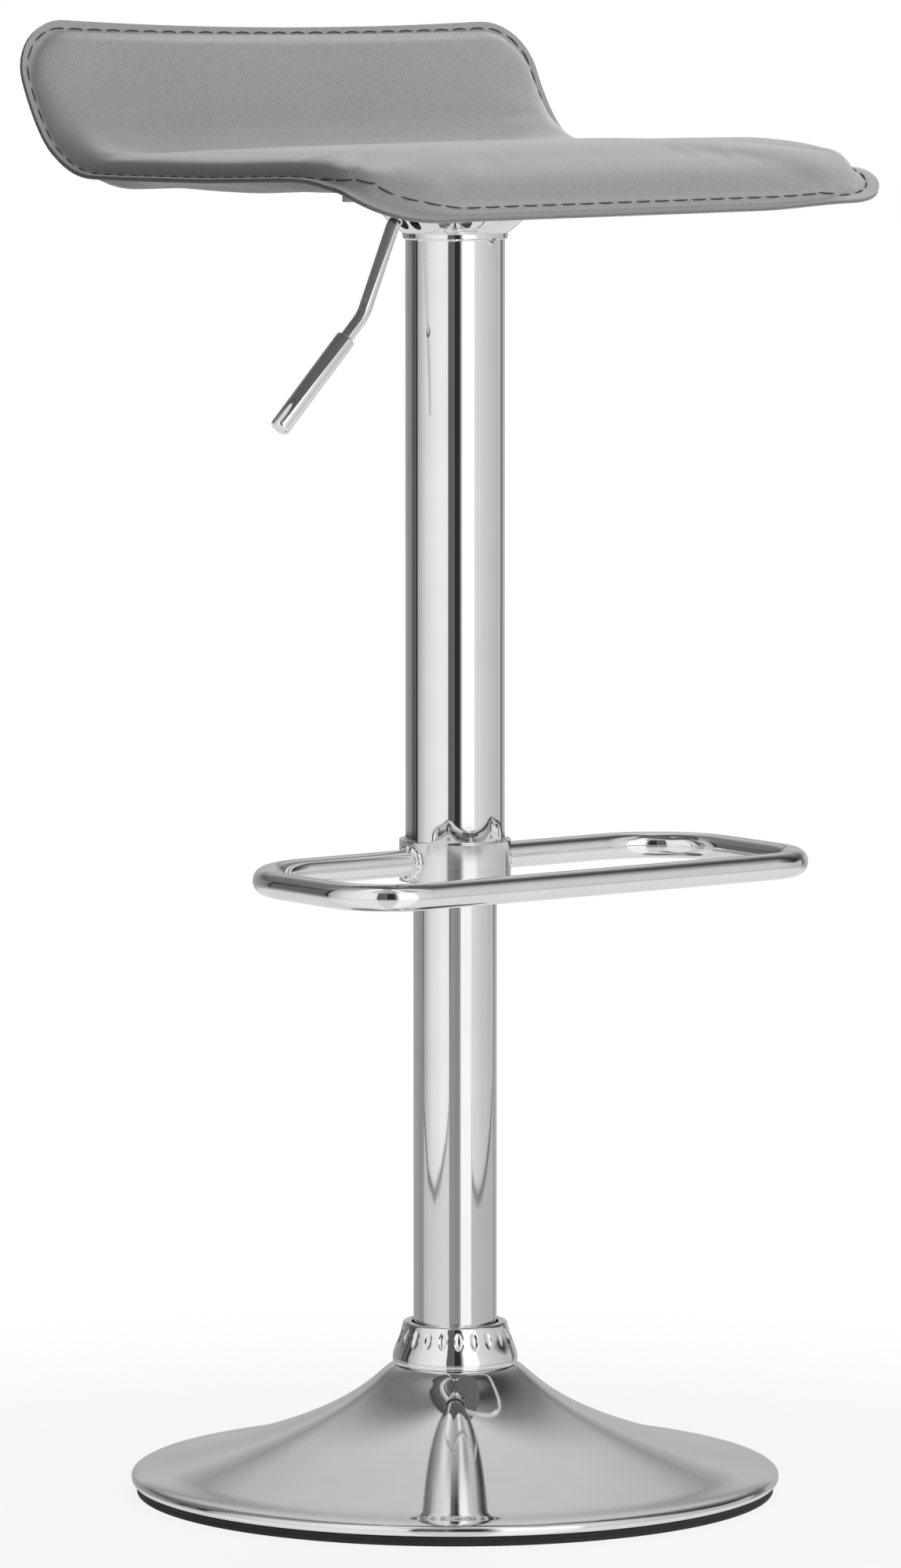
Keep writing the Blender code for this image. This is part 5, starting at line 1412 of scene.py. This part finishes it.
def make_seat(finishes):
    places, faces, rim = seat_layout()
    insets = [edge_inset(p.x, p.y) for p in places]
    start = [top_start(p.x, p.y) for p in places]
    if face_normals(start, faces)[-1].z < 0:
        faces = [tuple(reversed(face)) for face in faces]
    held_to = LIP_WIDTH + PIN_MARGIN
    pins = [1 - between(inset, held_to, held_to + PIN_FADE) for inset in insets]
    top = swell(start, faces, pins)
    dressed = []
    for spot, point, normal, inset in zip(places, top, face_normals(top, faces), insets):
        soft = between(inset, LIP_WIDTH, LIP_WIDTH + SOFT_FADE)
        ripple = noise.noise(point * UNEVEN_SCALE) * UNEVEN * soft
        dressed.append(point + normal * (ripple - sewing_pull(spot)))
    below = [pad_bottom(p.x, p.y) for p in places]
    pad = close_panel("seat_pad_top", dressed, below, faces, rim, finishes)
    seat_in(pad, "seat", "leather", "seat_top_cover", "seat_foam")

    outer = [under_outside(p.x, p.y) for p in places]
    normals = face_normals(outer, faces)
    pulled = [point + normal * sewing_pull(spot) for spot, point, normal in zip(places, outer, normals)]
    inner = [under_inside(p.x, p.y) for p in places]
    panel = close_panel("seat_panel_under", inner, pulled, faces, rim, finishes)
    seat_in(panel, "seat", "leather", "seat_bottom_cover")
    make_stitches("stitches_top", top_start, 1, finishes)
    make_stitches("stitches_under", under_outside, -1, finishes)


def make_stitches(name, surface, side, finishes):
    points, alongs, ups = [], [], []
    for here, way in STITCHES:
        inward = Vector((-way.y, way.x))
        before = surface(*(here - way * STITCH_PROBE))
        after = surface(*(here + way * STITCH_PROBE))
        outer = surface(*(here - inward * STITCH_PROBE))
        inner = surface(*(here - inward * STITCH_PROBE_NEAR))
        along = (after - before).normalized()
        up = along.cross(inner - outer).normalized()
        if up.dot(Vector(SEAT_UP)) * side < 0:
            up = -up
        points.append(surface(*here) - up * (SEAM_GROOVE * STITCH_SINK))
        alongs.append(along)
        ups.append(up)
    row = add_object(name, points)
    for label, vectors in (("along", alongs), ("up", ups)):
        stored = row.data.attributes.new(label, "FLOAT_VECTOR", "POINT")
        stored.data.foreach_set("vector", [c for v in vectors for c in v])
    run_group(row, STITCH, finishes["thread"], Length=STITCH_LENGTH, Thread_Radius=THREAD_RADIUS,
              Rise=STITCH_RISE, Dip=STITCH_DIP, Bow=side * STITCH_BOW)
    seat_in(row, "seat", "leather")


# Frame pieces, light and view

def dress_frame(finishes):
    slots = {row["node"]: row["material_slot"] for row in frame["record"]["subparts"]}
    for name, obj in frame["nodes"].items():
        # Painted shade: the parts inside the cup get black paint in place of their recorded finish
        slot = "black_steel" if name in PAINTED_SHADE_IN_CUP else slots[name]
        for material_slot in obj.material_slots:
            material_slot.material = finishes.get(slot, finishes["steel"])


def make_floor():
    points = [(FLOOR_RADIUS * math.cos(a), FLOOR_RADIUS * math.sin(a), -FLOOR_DROP) for a in angles(128)]
    floor = add_object("floor", points, (), [tuple(range(128))])
    look = Finish("pale_floor", Base_Color=(0.22, 0.22, 0.22, 1.0), Roughness=0.9, Specular_IOR_Level=0.1)
    path = look.add("ShaderNodeLightPath").outputs
    spot = look.add("ShaderNodeTexCoord").outputs["Object"]
    away = look.add("ShaderNodeVectorMath", {0: spot}, operation="LENGTH").outputs["Value"]
    white = look.eased(away, *FLOOR_WHITE_FROM, *FLOOR_WHITE)
    glow = look.add("ShaderNodeEmission", {"Color": (1, 1, 1, 1), "Strength": 1.0}).outputs[0]
    wires = {0: look.times(path["Is Camera Ray"], white), 1: look.shader.outputs[0], 2: glow}
    mixed = look.add("ShaderNodeMixShader", wires).outputs[0]
    look.tree.links.new(mixed, look.tree.nodes["Material Output"].inputs["Surface"])
    floor.data.materials.append(look.material)
    floor.visible_glossy = False


# Studio as the chrome sees it: brightness or height by degrees to the right of the eye's direction
HORIZON = [
    (-180, 0.50), (-150, 0.34), (-124, 0.24), (-116, 0.15), (-113, 0.02), (-110, 0.15), (-105, 0.13),
    (-102, 0.02), (-99, 0.03), (-95, 0.45), (-70, 0.80), (-35, 0.98), (-17, 0.96), (-15, 0.02), (-12.5, 0.14),
    (-4, 0.12), (-2.5, 0.24), (-1, 0.03), (9, 0.03), (12, 0.10), (18, 1.25), (44, 1.25), (47, 0.82),
    (75, 0.68), (115, 0.55), (128, 0.60), (134, 0.16), (141, 0.20), (146, 0.50), (180, 0.50),
]
CEILING = [
    (-180, 0.64), (-165, 0.62), (-150, 0.30), (-140, 0.20), (-120, 0.20), (-105, 0.30), (-75, 0.48),
    (-55, 0.90), (-42, 0.95), (-25, 0.60), (0, 0.42), (15, 0.46), (24, 0.95), (32, 0.95), (40, 0.45),
    (50, 0.42), (65, 0.66), (80, 0.66), (95, 0.25), (112, 0.06), (122, 0.06), (135, 0.14), (150, 0.26),
    (165, 0.62), (180, 0.64),
]
WALL_TOP = [(-180, 0.10), (-125, 0.10), (-95, 0.62), (60, 0.62), (110, 0.10), (180, 0.10)]
FLOOR_EDGE = [
    (-180, 0.112), (-101, 0.112), (-98, 0.1380), (-80, 0.1450), (-59, 0.1470), (-40, 0.1452),
    (-25, 0.1420), (-16, 0.1385), (-12, 0.112), (44, 0.112), (47, 0.1450), (56, 0.1466), (67, 0.1473),
    (80, 0.1465), (97, 0.1442), (114, 0.1410), (127, 0.1363), (134, 0.1292), (140, 0.112), (180, 0.112),
]
FLOOR_TONE = [
    (-180, 0.42), (-101, 0.42), (-97, 0.60), (-17, 0.62), (-15, 0.42), (14, 0.42), (17, 1.0), (44, 1.0),
    (47, 0.46), (130, 0.46), (180, 0.42),
]
CEILING_RISE = [(0.0, 0.85), (0.25, 0.85), (0.36, 0.55), (0.46, 0.85), (0.62, 1.0), (0.90, 1.1), (1.0, 1.2)]
WALL_BLEND = 0.18
FLOOR_WALL_SHARE = 0.35                 # how much of the wall the floor takes up
FLOOR_BLEND = (-0.0004, 0.0016)
SKIRTING_BLEND = (0.0003, 0.0011)
SKIRTING_TONE = 0.18
STEEP_FLOOR = (0.17, 0.34)              # close to the stool the floor turns pale
STEEP_PALE = 0.62
FILL_WAY = (0.96, 0.50, -0.27)          # the soft fill comes from the right, the front and level
FILL_REACH = (-0.34, 1.0)
FILL_RANGE = (0.03, 1.74)


def make_studio():
    """Plain soft studio: white to the eye, panels and dark gaps for the chrome, even fill for the rest."""
    world = bpy.data.worlds.new("studio")
    bpy.context.scene.world = world
    world.use_nodes = True
    build = Tree(world.node_tree)
    way = build.add("ShaderNodeTexCoord").outputs["Generated"]
    wires = {"Vector": way, "Axis": (0, 0, 1), "Angle": VIEW_TURN}
    turned = build.add("ShaderNodeVectorRotate", wires, rotation_type="AXIS_ANGLE").outputs[0]
    side, back, up = build.split(turned)
    front = build.times(back, -1.0)
    down = build.times(up, -1.0)
    share = build.times_plus(build.maths("ARCTAN2", side, front), 1 / math.tau, 0.5)

    def round_about(stops):
        return build.ramp(share, [((degrees + 180) / 360, level) for degrees, level in stops])

    upright = round_about(HORIZON)
    past = build.minus(down, round_about(FLOOR_EDGE))
    tone = build.times(round_about(FLOOR_TONE), 1 - FLOOR_WALL_SHARE)
    floor = build.times_plus(upright, FLOOR_WALL_SHARE, tone)
    change = build.times(build.minus(floor, upright), build.eased(past, *FLOOR_BLEND))
    skirting = build.eased(build.maths("ABSOLUTE", past), *SKIRTING_BLEND, SKIRTING_TONE)
    wall = build.times(build.plus(upright, change), skirting)
    steep = build.eased(down, *STEEP_FLOOR, 0.0, STEEP_PALE)
    wall = build.times_plus(steep, build.minus(1.0, wall), wall)
    ceiling = build.times(round_about(CEILING), build.ramp(up, CEILING_RISE))
    edge = build.split(round_about(WALL_TOP))[0]
    blend = build.eased(build.minus(up, edge), 0.0, WALL_BLEND)
    mirror = build.add("ShaderNodeMix", {0: blend, 6: wall, 7: ceiling}, data_type="RGBA").outputs[2]
    to_side, to_front, to_level = FILL_WAY
    across = build.times_plus(side, to_side, build.times(front, to_front))
    level = build.times_plus(build.maths("ABSOLUTE", up), to_level, across)
    fill_light = build.eased(level, *FILL_REACH, *FILL_RANGE)

    def backdrop(colour, strength=1.0):
        return build.add("ShaderNodeBackground", {0: colour, 1: strength}).outputs[0]

    def mixed(factor, first, second):
        return build.add("ShaderNodeMixShader", {0: factor, 1: first, 2: second}).outputs[0]

    white = (1, 1, 1, 1)
    path = build.add("ShaderNodeLightPath").outputs
    glossy = build.maths("MAXIMUM", path["Is Glossy Ray"], path["Is Transmission Ray"])
    soft = mixed(glossy, backdrop(white, fill_light), backdrop(mirror))
    whole = mixed(path["Is Camera Ray"], soft, backdrop(white))
    build.tree.links.new(whole, build.tree.nodes["World Output"].inputs["Surface"])
    bpy.context.scene.view_settings.view_transform = "Standard"


def soft_box(name, place, aim, width, height, energy):
    lamp = bpy.data.lights.new(name, "AREA")
    lamp.shape = "RECTANGLE"
    lamp.size = width
    lamp.size_y = height
    lamp.energy = energy
    obj = bpy.data.objects.new(name, lamp)
    obj.location = place
    obj.rotation_euler = (Vector(aim) - Vector(place)).to_track_quat("-Z", "Y").to_euler()
    obj.visible_glossy = False
    bpy.context.scene.collection.objects.link(obj)


def make_view():
    data = bpy.data.cameras.new("eye")
    data.sensor_fit = "HORIZONTAL"
    data.sensor_width = SENSOR_WIDTH_MM
    data.lens = LENS_MM
    data.clip_end = 100.0
    eye = bpy.data.objects.new("eye", data)
    eye.location = (-math.sin(VIEW_TURN) * VIEW_DISTANCE, -math.cos(VIEW_TURN) * VIEW_DISTANCE, EYE_HEIGHT)
    eye.rotation_euler = (math.pi / 2 - VIEW_PITCH, 0, -VIEW_TURN + VIEW_ASIDE)
    bpy.context.scene.collection.objects.link(eye)
    bpy.context.scene.camera = eye


TURNED = turned_group()
TUBE = tube_group()
WELD = weld_group()
STITCH = stitch_group()
FINISHES = make_finishes()
for make in (dress_frame, make_dish, make_foot_ring, make_trim_ring, make_column, make_sleeve, make_cup,
             make_cup_bead, make_collar, make_set_screw, make_footrest, make_lever, make_seat):
    make(FINISHES)
make_floor()
make_studio()
soft_box("key", place=(0.85, -0.5, 3.2), aim=(0.0, 0.0, 0.7), width=1.4, height=1.4, energy=7.0)
soft_box("back_light", place=(1.5, 1.3, 2.15), aim=(0.0, 0.0, 0.8), width=1.2, height=1.0, energy=96.0)
make_view()
